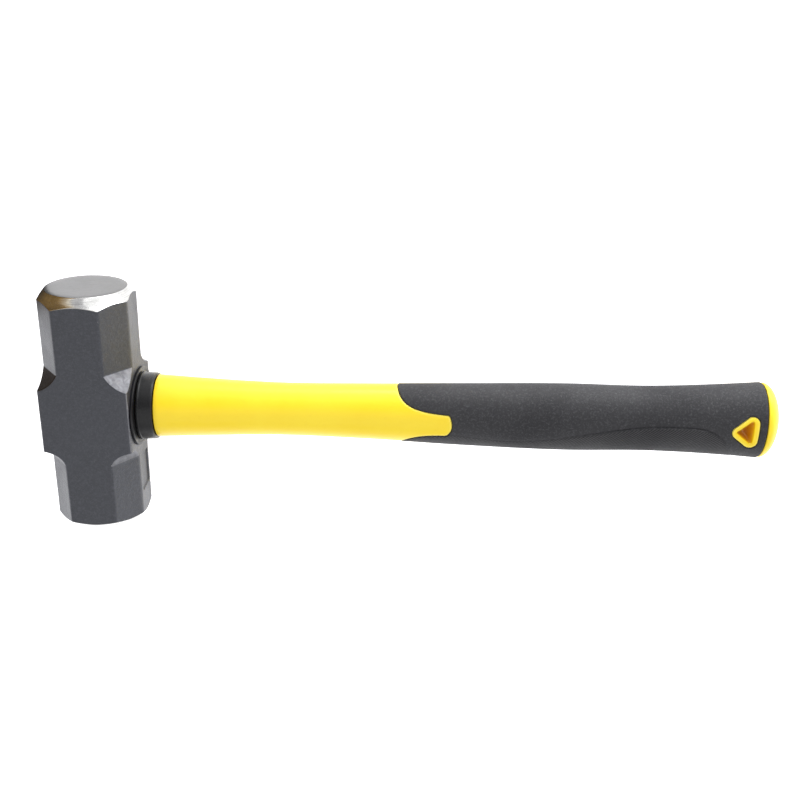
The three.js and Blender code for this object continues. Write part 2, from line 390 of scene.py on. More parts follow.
# ---------------------------------------------------------------- finishes
class Bench:
    """Adds nodes to one node tree."""

    def __init__(self, tree: bpy.types.NodeTree) -> None:
        """Takes the tree to work in."""
        self.tree = tree

    def node(self, kind: str, inputs: dict | None = None, **settings: object) -> bpy.types.Node:
        """Adds a node.

        Args:
            kind: The node's type, without its ShaderNode prefix.
            inputs: Values for its inputs, or sockets that feed them, by name or number.
            settings: The node's own settings.

        Returns:
            The node.
        """
        made = self.tree.nodes.new("ShaderNode" + kind)
        for key, value in settings.items():
            setattr(made, key, value)
        for key, value in (inputs or {}).items():
            if isinstance(value, bpy.types.NodeSocket):
                self.tree.links.new(value, made.inputs[key])
            else:
                made.inputs[key].default_value = value
        return made

    def math(self, operation: str, *values: object) -> bpy.types.NodeSocket:
        """The result of one sum on numbers or sockets."""
        return self.node("Math", dict(enumerate(values)), operation=operation).outputs[0]

    def times(self, first: object, second: object) -> bpy.types.NodeSocket:
        """The product of two numbers or sockets."""
        return self.math("MULTIPLY", first, second)

    def plus(self, first: object, second: object) -> bpy.types.NodeSocket:
        """The sum of two numbers or sockets."""
        return self.math("ADD", first, second)

    def mix(self, share: object, first: object, second: object) -> bpy.types.NodeSocket:
        """A colour between two, by a share."""
        made = self.node("Mix", {0: share, 6: first, 7: second}, data_type="RGBA")
        return made.outputs[2]

    def spread(self, value: object, low: float, high: float, to_low: float, to_high: float) -> object:
        """A value moved from one range to another and held inside it."""
        sizes = {"From Min": low, "From Max": high, "To Min": to_low, "To Max": to_high}
        return self.node("MapRange", {"Value": value, **sizes}).outputs[0]

    def rise(self, value: object, low: float, high: float) -> object:
        """A value moved so that it goes from 0 at low to 1 at high."""
        return self.spread(value, low, high, 0, 1)

    def axes(self, place: bpy.types.NodeSocket) -> bpy.types.NodeOutputs:
        """The X, Y and Z of a place."""
        return self.node("SeparateXYZ", {0: place}).outputs


class Group(Enum):
    """The effects that several finishes share."""

    GRAIN = "fine_grain"
    WEAR = "edge_wear"
    SCUFFS = "scuffs"
    HANDLING = "handling_marks"


@dataclass
class Effects:
    """Builds each shared node group once and hands it out."""

    made: dict[Group, bpy.types.NodeTree] = field(default_factory=dict)

    def get(self, which: Group) -> bpy.types.NodeTree:
        """Gives a shared group, and builds it the first time.

        Args:
            which: The effect.

        Returns:
            Its node group.
        """
        if which not in self.made:
            builders = {
                Group.GRAIN: self.grain,
                Group.WEAR: self.wear,
                Group.SCUFFS: self.scuffs,
                Group.HANDLING: self.handling,
            }
            self.made[which] = builders[which]()
        return self.made[which]

    @staticmethod
    def start(which: Group, values: dict[str, float], outputs: list[str]) -> tuple:
        """Opens a new group with a Vector input, number inputs and number outputs.

        Args:
            which: The effect to name it after.
            values: Its number inputs and their starting values.
            outputs: Its outputs.

        Returns:
            The tree, its bench, its input node and its output node.
        """
        tree = bpy.data.node_groups.new(which.value, "ShaderNodeTree")
        tree.interface.new_socket(name="Vector", in_out="INPUT", socket_type="NodeSocketVector")
        for name, value in values.items():
            socket = tree.interface.new_socket(name=name, in_out="INPUT", socket_type="NodeSocketFloat")
            socket.default_value = value
        for name in outputs:
            tree.interface.new_socket(name=name, in_out="OUTPUT", socket_type="NodeSocketFloat")
        return tree, Bench(tree), tree.nodes.new("NodeGroupInput"), tree.nodes.new("NodeGroupOutput")

    def grain(self) -> bpy.types.NodeTree:
        """Fine pebbled grain: Height for bump and Mask for its peaks. Size is in millimetres.

        Returns:
            The node group.
        """
        tree, bench, given, out = self.start(Group.GRAIN, {"Size": 1, "Rough": 0.6}, ["Height", "Mask"])
        scale = bench.math("DIVIDE", 1 / MM, given.outputs["Size"])
        inputs = {"Vector": given.outputs["Vector"], "Scale": scale, "Detail": 3}
        base = bench.node("TexNoise", {**inputs, "Roughness": given.outputs["Rough"]})
        tree.links.new(base.outputs[0], out.inputs["Height"])
        tree.links.new(bench.rise(base.outputs[0], 0.5, 0.7), out.inputs["Mask"])
        return tree

    def wear(self) -> bpy.types.NodeTree:
        """Rubbed and chipped edges: Mask is 1 where the finish is gone.

        Returns:
            The node group.
        """
        tree, bench, given, out = self.start(Group.WEAR, {"Edge": 0, "Size": 2, "Amount": 0.5}, ["Mask"])
        scale = bench.math("DIVIDE", 1 / MM, given.outputs["Size"])
        broken = bench.node("TexNoise", {"Vector": given.outputs["Vector"], "Scale": scale, "Detail": 5})
        reach = bench.times(given.outputs["Edge"], given.outputs["Amount"])
        level = bench.plus(reach, broken.outputs[0])
        tree.links.new(bench.rise(level, 0.98, 1.12), out.inputs["Mask"])
        return tree

    def scuffs(self) -> bpy.types.NodeTree:
        """Thin straight scratches in two directions. Size is the gap between them in millimetres.

        Returns:
            The node group.
        """
        tree, bench, given, out = self.start(Group.SCUFFS, {"Size": 1, "Amount": 0.5}, ["Mask"])
        scale = bench.math("DIVIDE", 1 / MM, given.outputs["Size"])
        layers = []
        for angle in (0.5, -0.9):
            rotation = (angle, angle / 2, angle)
            turned = bench.node("Mapping", {"Vector": given.outputs["Vector"], "Rotation": rotation})
            stretch = bench.node("Mapping", {"Vector": turned.outputs[0], "Scale": (0.04, 1, 1)})
            lines = bench.node("TexNoise", {"Vector": stretch.outputs[0], "Scale": scale, "Detail": 2})
            layers.append(bench.rise(lines.outputs[0], 0.62, 0.72))
        both = bench.math("MAXIMUM", *layers)
        tree.links.new(bench.times(both, given.outputs["Amount"]), out.inputs["Mask"])
        return tree

    def handling(self) -> bpy.types.NodeTree:
        """Wide soft patches where hands and dust have changed the sheen. Size is in millimetres.

        Returns:
            The node group.
        """
        tree, bench, given, out = self.start(Group.HANDLING, {"Size": 30}, ["Mask"])
        scale = bench.math("DIVIDE", 1 / MM, given.outputs["Size"])
        inputs = {"Vector": given.outputs["Vector"], "Scale": scale, "Detail": 4, "Distortion": 0.6}
        patches = bench.node("TexNoise", inputs)
        tree.links.new(bench.rise(patches.outputs[0], 0.35, 0.7), out.inputs["Mask"])
        return tree


EFFECTS = Effects()
Colour = tuple[float, float, float, float]


def grey(value: float, blue: float = 1.0) -> Colour:
    """A grey with a little more or less blue in it."""
    return (value, value, value * blue, 1)


class Finish:
    """A material under way: one Principled shader, the object's own coordinates and the shared effects."""

    def __init__(self, name: str, **sockets: object) -> None:
        """Starts a material.

        Args:
            name: Its name.
            sockets: Plain values for the shader, with _ for each space in a socket's name.
        """
        self.material = bpy.data.materials.new(name)
        self.material.use_nodes = True
        tree = self.material.node_tree
        tree.nodes.clear()
        self.bench = Bench(tree)
        plain = {key.replace("_", " "): value for key, value in sockets.items()}
        self.shader = self.bench.node("BsdfPrincipled", plain)
        output = self.bench.node("OutputMaterial")
        tree.links.new(self.shader.outputs[0], output.inputs[0])
        self.place = self.bench.node("TexCoord").outputs["Object"]
        self.heights: list[tuple[object, float]] = []

    def effect(self, which: Group, vector: object = None, **values: object) -> bpy.types.Node:
        """Places a shared effect in this material.

        Args:
            which: The effect.
            vector: The coordinates that it works in, if not the object's own.
            values: Numbers for its inputs, or sockets that feed them, by name.

        Returns:
            The placed group.
        """
        group = self.bench.tree.nodes.new("ShaderNodeGroup")
        group.node_tree = EFFECTS.get(which)
        self.bench.tree.links.new(vector or self.place, group.inputs["Vector"])
        for name, value in values.items():
            if isinstance(value, bpy.types.NodeSocket):
                self.bench.tree.links.new(value, group.inputs[name])
            else:
                group.inputs[name].default_value = value
        return group

    def read(self, name: str) -> bpy.types.NodeSocket:
        """A number that the mesh stores for each vertex."""
        return self.bench.node("Attribute", attribute_name=name).outputs["Fac"]

    def drive(self, socket: str, value: bpy.types.NodeSocket) -> None:
        """Feeds one of the shader's sockets."""
        self.bench.tree.links.new(value, self.shader.inputs[socket])

    def relief(self, *layers: tuple[bpy.types.NodeSocket, float]) -> None:
        """Stacks bump layers, each a height and how many millimetres it stands at 1.

        Args:
            layers: The heights and their sizes, coarsest first.
        """
        normal = None
        for height, size in layers:
            inputs = {"Height": height, "Distance": size * MM, "Strength": 1.0}
            if normal is not None:
                inputs["Normal"] = normal
            normal = self.bench.node("Bump", inputs).outputs[0]
        self.drive("Normal", normal)


@dataclass(frozen=True)
class CoatedSteel:
    """Dark satin coating on forged steel, rubbed to bare metal along its edges."""

    name: str = "dark_coated_steel"
    dark: Colour = (0.011, 0.0115, 0.0145, 1)
    pale: Colour = (0.036, 0.037, 0.045, 1)
    scratch: Colour = (0.12, 0.12, 0.12, 1)
    bare: Colour = (0.34, 0.33, 0.33, 1)
    # forged: lighter steel for the scoops, partly an as-forged finish and partly a painted highlight
    forged: Colour = (0.22, 0.22, 0.235, 1)
    # scale: the painted dark brown reflection for the upper-left scoop
    scale: Colour = (0.030, 0.021, 0.013, 1)

    def build(self) -> bpy.types.Material:
        """Makes the material.

        Returns:
            The new material.
        """
        made = Finish(self.name, IOR=1.66, Specular_Tint=(0.9, 0.93, 1.0, 1))
        bench = made.bench
        fine = made.effect(Group.GRAIN, Size=0.8, Rough=0.8)
        peel = made.effect(Group.GRAIN, Size=1.9, Rough=0.6)
        patches = made.effect(Group.HANDLING, Size=22)
        scratches = made.effect(Group.SCUFFS, Size=1.1, Amount=0.35)
        gone = made.effect(Group.WEAR, Edge=made.read("edge"), Size=2.2, Amount=0.36)
        scale = made.effect(Group.HANDLING, Size=3.5)
        tone = bench.mix(fine.outputs["Mask"], self.dark, self.pale)
        tone = bench.mix(bench.times(peel.outputs["Mask"], 0.5), tone, self.pale)
        tone = bench.mix(bench.times(patches.outputs[0], 0.3), tone, self.pale)
        bare = bench.spread(scale.outputs[0], 0, 1, 0.35, 1)
        # The scoops turn lighter: as-forged steel, strongest on the upper-right scoop as a painted
        # highlight.
        tone = bench.mix(bench.times(made.read("scoop"), bare), tone, self.forged)
        tone = bench.mix(bench.times(scratches.outputs[0], 0.25), tone, self.scratch)
        # The upper-left scoop is painted dark brown, metallic and rougher: a painted reflection.
        painted_brown_reflection = made.read("painted_brown_reflection")
        tone = bench.mix(painted_brown_reflection, tone, self.scale)
        made.drive("Base Color", bench.mix(gone.outputs[0], tone, self.bare))
        made.drive("Metallic", bench.math("MAXIMUM", bench.times(gone.outputs[0], 0.85), painted_brown_reflection))
        shine = bench.spread(patches.outputs[0], 0, 1, 0.4, 0.5)
        shine = bench.plus(shine, bench.times(painted_brown_reflection, 0.3))
        made.drive("Roughness", bench.plus(shine, bench.times(gone.outputs[0], 0.08)))
        grains = ((grain.outputs["Height"], 0.12) for grain in (peel, fine))
        made.relief((scale.outputs[0], 0.04), *grains)
        return made.material


class Course(Enum):
    """Which way a grinding belt's lines run."""

    AROUND = auto()
    ACROSS = auto()


@dataclass(frozen=True)
class GroundSteel:
    """Bright steel as it comes off the grinding belt. Lines and depth are in millimetres."""

    name: str
    light: Colour
    shade: Colour
    roughness: float
    course: Course
    lines: float
    depth: float
    patches: float

    def build(self) -> bpy.types.Material:
        """Makes the material.

        Returns:
            The new material.
        """
        made = Finish(self.name, Metallic=1.0)
        bench = made.bench
        parts = bench.axes(made.place)
        if self.course is Course.AROUND:
            lined = {0: bench.times(parts[0], 0.05), 1: parts[1], 2: parts[1]}
        else:
            lined = {0: bench.times(parts[0], 0.06), 1: parts[2], 2: parts[1]}
        course = bench.node("CombineXYZ", lined)
        belt = made.effect(Group.GRAIN, course.outputs[0], Size=self.lines, Rough=0.7)
        pits = made.effect(Group.GRAIN, Size=0.8, Rough=0.8)
        dull = made.effect(Group.HANDLING, Size=9)
        scratches = made.effect(Group.SCUFFS, Size=0.7, Amount=0.6)
        tone = bench.mix(belt.outputs["Mask"], self.light, self.shade)
        tone = bench.mix(bench.times(pits.outputs["Mask"], 0.25), tone, self.shade)
        made.drive("Base Color", bench.mix(bench.times(dull.outputs[0], self.patches), tone, self.shade))
        change = self.roughness * self.patches * 0.3
        rough = bench.spread(dull.outputs[0], 0, 1, self.roughness - change, self.roughness + change)
        made.drive("Roughness", bench.plus(rough, bench.times(scratches.outputs[0], 0.12)))
        made.relief((belt.outputs["Height"], self.depth), (scratches.outputs[0], 0.003))
        return made.material


@dataclass(frozen=True)
class YellowPlastic:
    """Smooth moulded plastic with a faint flow in its colour, a painted highlight at its edges and painted
    shade at the collar and in the hanging hole.
    """

    name: str = "yellow_moulded_plastic"
    main: Colour = (0.93, 0.68, 0.012, 1)
    flow: Colour = (0.95, 0.72, 0.02, 1)
    # dirt: real dirt in scratches and on the parting line, and painted shade where the yellow meets the
    # collar
    dirt_and_shade: Colour = (0.66, 0.36, 0.02, 1)
    # bright: a painted highlight along the yellow's edges
    painted_highlight: Colour = (1.0, 0.86, 0.16, 1)
    # deep: painted orange shade for the hanging hole's bore
    deep: Colour = (0.97, 0.60, 0.014, 1)

    def build(self) -> bpy.types.Material:
        """Makes the material.

        Returns:
            The new material.
        """
        made = Finish(self.name, IOR=1.48)
        bench = made.bench
        flow = made.effect(Group.HANDLING, Size=26)
        peel = made.effect(Group.GRAIN, Size=1.6, Rough=0.45)
        scratches = made.effect(Group.SCUFFS, Size=1.8, Amount=0.4)
        parting_and_collar_shade = made.read("parting_and_collar_shade")
        tone = bench.mix(flow.outputs[0], self.main, self.flow)
        tone = bench.mix(bench.times(scratches.outputs[0], 0.12), tone, self.dirt_and_shade)
        # Darkens the parting line, and paints shade along the yellow's edge at the collar.
        tone = bench.mix(bench.times(parting_and_collar_shade, 0.5), tone, self.dirt_and_shade)
        # A painted highlight along the edges of the yellow.
        tone = bench.mix(bench.times(made.read("rim"), 0.75), tone, self.painted_highlight)
        # The hanging hole's bore is painted a deeper orange: painted shade.
        made.drive("Base Color", bench.mix(made.read("deep"), tone, self.deep))
        made.drive("Roughness", bench.spread(flow.outputs[0], 0, 1, 0.3, 0.4))
        made.relief((peel.outputs["Height"], 0.02), (scratches.outputs[0], 0.004))
        return made.material


@dataclass(frozen=True)
class GripRubber:
    """Sandblasted rubber, with a fine diagonal hatch on the belly, painted lighter on its ridges and
    painted dark in its grooves.
    """

    name: str = "textured_grip_rubber"
    dark: Colour = (0.015, 0.015, 0.0175, 1)
    # peak: lighter grain tone, and a painted highlight on the hatch's ridges
    grain_and_ridge_highlight: Colour = (0.065, 0.065, 0.07, 1)
    # valley: painted shade in the hatch's grooves
    painted_groove_shade: Colour = (0.004, 0.004, 0.004, 1)
    pitch: float = 1.1
    slant: tuple[float, float] = (0.6, 0.8)

    def build(self) -> bpy.types.Material:
        """Makes the material.

        Returns:
            The new material.
        """
        made = Finish(self.name, IOR=1.5)
        bench = made.bench
        blast = made.effect(Group.GRAIN, Size=1.1, Rough=0.85)
        worn = made.effect(Group.HANDLING, Size=35)
        belly = made.read("belly")
        course = (bench.times(made.read(name), part) for name, part in zip(("along", "round"), self.slant))
        slant = bench.plus(*course)
        ridges = bench.math("SINE", bench.times(slant, TURN / self.pitch))
        hatch = bench.times(bench.rise(ridges, -0.5, 0.8), belly)
        plain = bench.times(blast.outputs["Mask"], bench.spread(belly, 0, 1, 1, 0.25))
        tone = bench.mix(bench.times(plain, 0.75), self.dark, self.grain_and_ridge_highlight)
        # Painted highlight on the hatch's ridges.
        tone = bench.mix(bench.times(hatch, 0.55), tone, self.grain_and_ridge_highlight)
        # Painted shade in the hatch's grooves.
        painted_groove_shade = bench.times(bench.math("SUBTRACT", belly, hatch), 0.85)
        made.drive("Base Color", bench.mix(painted_groove_shade, tone, self.painted_groove_shade))
        made.drive("Roughness", bench.spread(worn.outputs[0], 0, 1, 0.62, 0.78))
        made.relief((hatch, 0.2), (blast.outputs["Height"], 0.2))
        return made.material


@dataclass(frozen=True)
class BlackMoulding:
    """Black moulded plastic or seal rubber with a light grain."""

    name: str
    tone: Colour
    lighter: Colour
    roughness: float
    grain: float

    def build(self) -> bpy.types.Material:
        """Makes the material.

        Returns:
            The new material.
        """
        made = Finish(self.name, IOR=1.5, Specular_IOR_Level=0.3)
        bench = made.bench
        fine = made.effect(Group.GRAIN, Size=self.grain, Rough=0.7)
        worn = made.effect(Group.HANDLING, Size=12)
        scratches = made.effect(Group.SCUFFS, Size=0.8, Amount=0.4)
        tone = bench.mix(bench.times(fine.outputs["Mask"], 0.6), self.tone, self.lighter)
        made.drive("Base Color", bench.mix(scratches.outputs[0], tone, self.lighter))
        rough = bench.spread(worn.outputs[0], 0, 1, self.roughness - 0.05, self.roughness + 0.1)
        made.drive("Roughness", rough)
        made.relief((fine.outputs["Height"], 0.03),)
        return made.material


@dataclass(frozen=True)
class PottingResin:
    """Dark cured resin with small bubbles at its surface."""

    name: str = "cured_resin"
    tone: Colour = (0.016, 0.015, 0.013, 1)
    cloud: Colour = (0.05, 0.042, 0.03, 1)

    def build(self) -> bpy.types.Material:
        """Makes the material.

        Returns:
            The new material.
        """
        made = Finish(self.name, IOR=1.55)
        bench = made.bench
        clouds = made.effect(Group.HANDLING, Size=6)
        bubbles = bench.node("TexVoronoi", {"Vector": made.place, "Scale": 700.0})
        pop = bench.rise(bubbles.outputs["Distance"], 0.1, 0.28)
        made.drive("Base Color", bench.mix(clouds.outputs[0], self.tone, self.cloud))
        made.drive("Roughness", bench.spread(clouds.outputs[0], 0, 1, 0.16, 0.4))
        made.relief((pop, 0.12),)
        return made.material


@dataclass(frozen=True)
class Fibreglass:
    """Glass strands in amber resin, cut square at the end."""

    name: str = "pultruded_fibreglass"
    resin: Colour = (0.36, 0.24, 0.06, 1)
    strand: Colour = (0.72, 0.62, 0.34, 1)

    def build(self) -> bpy.types.Material:
        """Makes the material.

        Returns:
            The new material.
        """
        made = Finish(self.name, IOR=1.52)
        bench = made.bench
        drawn = bench.node("Mapping", {"Vector": made.place, "Scale": (0.03, 1, 1)})
        strands = bench.node("TexVoronoi", {"Vector": drawn.outputs[0], "Scale": 1500.0})
        bundle = bench.spread(strands.outputs["Distance"], 0.2, 0.55, 1, 0)
        saw = made.effect(Group.SCUFFS, Size=0.6, Amount=0.8)
        made.drive("Base Color", bench.mix(bundle, self.resin, self.strand))
        made.drive("Roughness", bench.spread(bundle, 0, 1, 0.35, 0.6))
        made.relief((bundle, 0.05), (saw.outputs[0], 0.03))
        return made.material


# ---------------------------------------------------------------- the hammer's pieces
class Piece:
    """What every piece of the hammer shares: its name, the CAD node it stands for, and its build order."""

    name: ClassVar[str]
    node: ClassVar[str]
    slot: ClassVar[str]

    def shape(self) -> bpy.types.Object:
        """Makes the bare piece."""
        raise NotImplementedError

    def dress(self, made: bpy.types.Object) -> None:
        """Gives the piece its finishes."""
        raise NotImplementedError

    def carve(self, made: bpy.types.Object) -> None:
        """Cuts the piece's openings, on those that have any."""

    def mark(self, made: bpy.types.Object) -> None:
        """Stores what the finishes read from the mesh, on those that read anything."""

    def build(self) -> bpy.types.Object:
        """Makes, dresses, cuts and marks the piece, and hides the CAD node it stands for.

        Returns:
            The finished piece.
        """
        made = self.shape()
        self.dress(made)
        self.carve(made)
        self.mark(made)
        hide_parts(self.node)
        return made


@dataclass(frozen=True)
class HeadRounds:
    """How far from each kind of edge on the head its rounding starts, in millimetres."""

    cheek: float = 1.0
    pole: float = 0.8
    bevel: float = 0.8
    bevel_foot: float = 0.45
    face: float = 0.5


@dataclass(frozen=True)
class HeadGrid:
    """How finely the head is divided: columns on a flat and a chamfer, and rows in each zone."""

    flat: int = 44
    chamfer: int = 28
    cheek: int = 6
    scoop: int = 28
    pole: int = 26
    ground: int = 20
    face: int = 13
    eye: int = 160


@dataclass
class HammerHead(Piece):
    """The forged head: a square bar at the cheeks, scooped down to an octagon at each pole."""

    name: ClassVar[str] = "hammer_head_forging"
    node: ClassVar[str] = "hammer_head"
    slot: ClassVar[str] = "forged_steel"
    length: float = HEAD_HIGH[1] - HEAD_LOW[1]
    width: float = HEAD_HIGH[0] - HEAD_LOW[0]
    depth: float = HEAD_HIGH[2] - HEAD_LOW[2]
    chamfer_across: float = 11.5
    chamfer_down: float = 15.0
    cheek_drop: float = 1.8
    cheek_half: float = 17.0
    scoop: float = 9.4
    scoop_sweep: float = math.radians(76)
    crease: float = math.radians(24)
    edge_break: float = 0.7
    face_radius: float = 21.0
    bevel_radius: float = 24.6
    bevel_depth: float = 4.4
    corner_radius: float = 31.0
    corner_depth: float = 7.7
    light_grind: float = 1.3
    eye_near: tuple[float, float] = (14.0, 11.5)
    eye_far: tuple[float, float] = (16.0, 13.5)
    eye_break: tuple[float, float] = (0.7, 0.8)
    panel_centre: float = -39.5
    panel_size: tuple[float, float] = (20.0, 14.0)
    panel_depth: float = 0.8
    panel_round: float = 1.3
    panel_wall: tuple[tuple[float, float], ...] = ((0.0, -0.45), (0.3, 0.0), (1.1, 0.4))
    hollow: float = 0.05
    hollow_waves: tuple[tuple[float, float], ...] = ((0.11, 1.0), (0.4, 0.4))
    worn_width: float = 0.9
    crease_angle: float = math.radians(32)
    rounds: HeadRounds = HeadRounds()
    grid: HeadGrid = HeadGrid()

    def share(self, y: np.ndarray) -> np.ndarray:
        """How much of the full corner chamfer is left at a place along the head.

        Args:
            y: Places along the head.

        Returns:
            1 at the poles, falling round the scoops to nearly 0 at the cheeks.
        """
        from_cheek = np.abs(y + self.cheek_drop)
        along = np.clip((self.cheek_half + self.scoop - from_cheek) / self.scoop, 0, 1)
        start = np.where(y > 0, self.crease, 0.0)
        rise = np.sin(start) + along * (math.sin(self.scoop_sweep) - np.sin(start))
        fallen = (np.cos(start) - np.cos(np.arcsin(rise))) / (np.cos(start) - math.cos(self.scoop_sweep))
        return np.maximum(1 - fallen, self.edge_break / self.chamfer_across)

    def faces_at(self, x: np.ndarray, y: np.ndarray, z: np.ndarray) -> list[np.ndarray]:
        """Signed distances to the side, cheek, chamfer, ground bevel and striking faces.

        Args:
            x: First coordinate.
            y: Second coordinate.
            z: Third coordinate.

        Returns:
            One distance for each kind of face, below zero inside the steel.
        """
        across, down = self.chamfer_across, self.chamfer_down
        side = np.abs(x) - self.width / 2
        cheek = np.abs(z) - self.depth / 2
        full = self.width / 2 / across + self.depth / 2 / down
        slant = math.hypot(1 / across, 1 / down)
        chamfer = (np.abs(x) / across + np.abs(z) / down - full + self.share(y)) / slant
        radius = np.hypot(x, z)
        short = np.abs(y) - self.length / 2
        ground_short = short - self.light_grind * (y < 0)
        rise, run = self.bevel_depth, self.bevel_radius - self.face_radius
        steep = ((radius - self.face_radius) * rise + ground_short * run) / math.hypot(rise, run)
        rise, run = self.corner_depth - self.bevel_depth, self.corner_radius - self.bevel_radius
        out = radius - self.bevel_radius
        gentle = (out * rise + (ground_short + self.bevel_depth) * run) / math.hypot(rise, run)
        ground = -smooth_max(-steep, -gentle, self.rounds.bevel)
        return [side, cheek, chamfer, ground, short]

    def solid(self, x: np.ndarray, y: np.ndarray, z: np.ndarray) -> np.ndarray:
        """Signed distance to the whole head, with every edge rounded."""
        side, cheek, chamfer, ground, face = self.faces_at(x, y, z)
        rounds = self.rounds
        soft = rounds.cheek + (rounds.pole - rounds.cheek) * self.share(y)
        bar = smooth_max(smooth_max(side, cheek, soft), chamfer, soft)
        return smooth_max(smooth_max(bar, ground, rounds.bevel_foot), face, rounds.face)

    def corners(self, share: np.ndarray) -> np.ndarray:
        """The section's eight corners, turning from X towards Z, for each share of chamfer.

        Args:
            share: How much of the full chamfer each section has.

        Returns:
            Eight corners, each with its X and Z for every share.
        """
        wide, deep = self.width / 2, self.depth / 2
        across = wide - self.chamfer_across * share
        down = deep - self.chamfer_down * share
        wide, deep = np.full_like(share, wide), np.full_like(share, deep)
        right = [(wide, -down), (wide, down), (across, deep)]
        left = [(-across, deep), (-wide, down), (-wide, -down), (-across, -deep)]
        return np.array([*right, *left, (across, -deep)])

    def section(self, share: np.ndarray) -> tuple[np.ndarray, np.ndarray]:
        """X and Z of the sharp-edged section's points, in columns, for each row's share of chamfer.

        Args:
            share: How much of the full chamfer each row has.

        Returns:
            The points' X and their Z, in rows and columns.
        """
        corners = self.corners(share)
        x, z = [], []
        for i in range(8):
            steps = eased(self.grid.chamfer if i % 2 else self.grid.flat)[:-1]
            start, end = corners[i], corners[(i + 1) % 8]
            x.append(start[0][..., None] * (1 - steps) + end[0][..., None] * steps)
            z.append(start[1][..., None] * (1 - steps) + end[1][..., None] * steps)
        return np.concatenate(x, -1), np.concatenate(z, -1)

    def rim_depth(self, radius: np.ndarray, lighter: float) -> np.ndarray:
        """How far the grinding has lowered the end at a radius, if it is lighter by some depth."""
        known = [self.face_radius, self.bevel_radius, self.corner_radius]
        return np.maximum(np.interp(radius, known, [0, self.bevel_depth, self.corner_depth]) - lighter, 0)

    def half_grid(self, sign: int) -> tuple[np.ndarray, np.ndarray, np.ndarray, np.ndarray]:
        """Sharp-edged points from the cheeks out to one striking face.

        Args:
            sign: 1 for the end towards +Y, -1 for the other.

        Returns:
            X, Y and Z in rows and columns, and each row's material number.
        """
        grid, end = self.grid, self.length / 2
        lighter = self.light_grind if sign < 0 else 0
        disc = self.face_radius + lighter * (self.bevel_radius - self.face_radius) / self.bevel_depth
        drop = sign * self.cheek_drop
        cheek = np.linspace(2.4, self.cheek_half, grid.cheek, endpoint=False)
        scoop = self.cheek_half + self.scoop * eased(grid.scoop)
        inner = np.concatenate([cheek, scoop]) - drop
        x, z = self.section(self.share(inner * sign))
        y = np.broadcast_to(inner[:, None], x.shape)
        pole_x, pole_z = self.section(np.array([1.0]))
        pole_x, pole_z = pole_x[0], pole_z[0]
        radius = np.hypot(pole_x, pole_z)
        rim = end - self.rim_depth(radius, lighter)
        out = eased(grid.pole)[1:, None]
        pole_y = inner[-1] + (rim - inner[-1]) * out
        still = np.ones_like(out)
        ground = radius + (disc - radius) * eased(grid.ground)[1:, None]
        inward = np.linspace(0, 1, grid.face + 2)[1:-1, None] ** 0.7
        face = disc * (1 - inward) * np.ones_like(radius)
        rings = np.concatenate([ground, face])
        ring_y = end - self.rim_depth(rings, lighter)
        x = np.concatenate([x, pole_x * still, pole_x * rings / radius])
        z = np.concatenate([z, pole_z * still, pole_z * rings / radius])
        y = np.concatenate([y, pole_y, ring_y])
        kinds = np.repeat([0, 1, 2], [len(inner) + len(out), len(ground), len(face)])
        return x, y * sign, z, kinds

    def settle(self, x: np.ndarray, y: np.ndarray, z: np.ndarray) -> np.ndarray:
        """Moves sharp-edged points onto the rounded surface, along rays from the head's axis.

        Args:
            x: First coordinate.
            y: Second coordinate.
            z: Third coordinate.

        Returns:
            The moved points, with X, Y and Z last.
        """
        core = self.length / 2 - 22
        nearest, furthest, halvings = 4.0, 60.0, 34
        root = np.clip(y, -core, core)
        way = np.stack([x, y - root, z], -1)
        way /= np.linalg.norm(way, axis=-1, keepdims=True)
        near, far = np.full(x.shape, nearest), np.full(x.shape, furthest)
        for _ in range(halvings):
            middle = (near + far) / 2
            inside = self.solid(way[..., 0] * middle, root + way[..., 1] * middle, way[..., 2] * middle) < 0
            near, far = np.where(inside, middle, near), np.where(inside, far, middle)
        return way * near[..., None] + np.stack([np.zeros_like(root), root, np.zeros_like(root)], -1)

    def forged(self, places: np.ndarray, kinds: np.ndarray) -> np.ndarray:
        """Presses shallow hammer-scale hollows into the coated faces, always inward.

        Args:
            places: The surface's points.
            kinds: Each row's finish, 0 where it is coated.

        Returns:
            The pressed points.
        """
        flat = places.reshape(-1, 3)
        waves = self.hollow_waves
        wave = np.array([sum(size * noise.noise(Vector(p * rate)) for rate, size in waves) for p in flat])
        depth = self.hollow * np.maximum(1 + wave.reshape(places.shape[:-1]), 0.02) * (kinds == 0)[:, None]
        out = places * np.array([1, 0, 1])
        out /= np.linalg.norm(out, axis=-1, keepdims=True) + 1e-9
        return places - out * depth[..., None]

    def shape(self) -> bpy.types.Object:
        """Makes the head before its eye and panel are cut, with each face's finish chosen.

        Returns:
            The new object.
        """
        low, high = self.half_grid(-1), self.half_grid(1)
        rows = [np.concatenate([a[::-1], b]) for a, b in zip(low, high)]
        places = self.forged(self.settle(*rows[:3]), rows[3])
        builder = Builder()
        ids = builder.points(places)
        for near, far in zip(ids, ids[1:]):
            builder.bridge(near, far)
        slots = np.repeat(np.maximum(rows[3][:-1], rows[3][1:]), ids.shape[1])
        end = self.length / 2
        builder.cap(ids[0], np.array([0, -end, 0]), far=False)
        builder.cap(ids[-1], np.array([0, end, 0]), far=True)
        made = builder.mesh(self.name)
        made.data.flip_normals()
        slots = np.concatenate([slots, np.full(2 * ids.shape[1], 2)])
        made.data.polygons.foreach_set("material_index", slots.astype(np.int32))
        return made

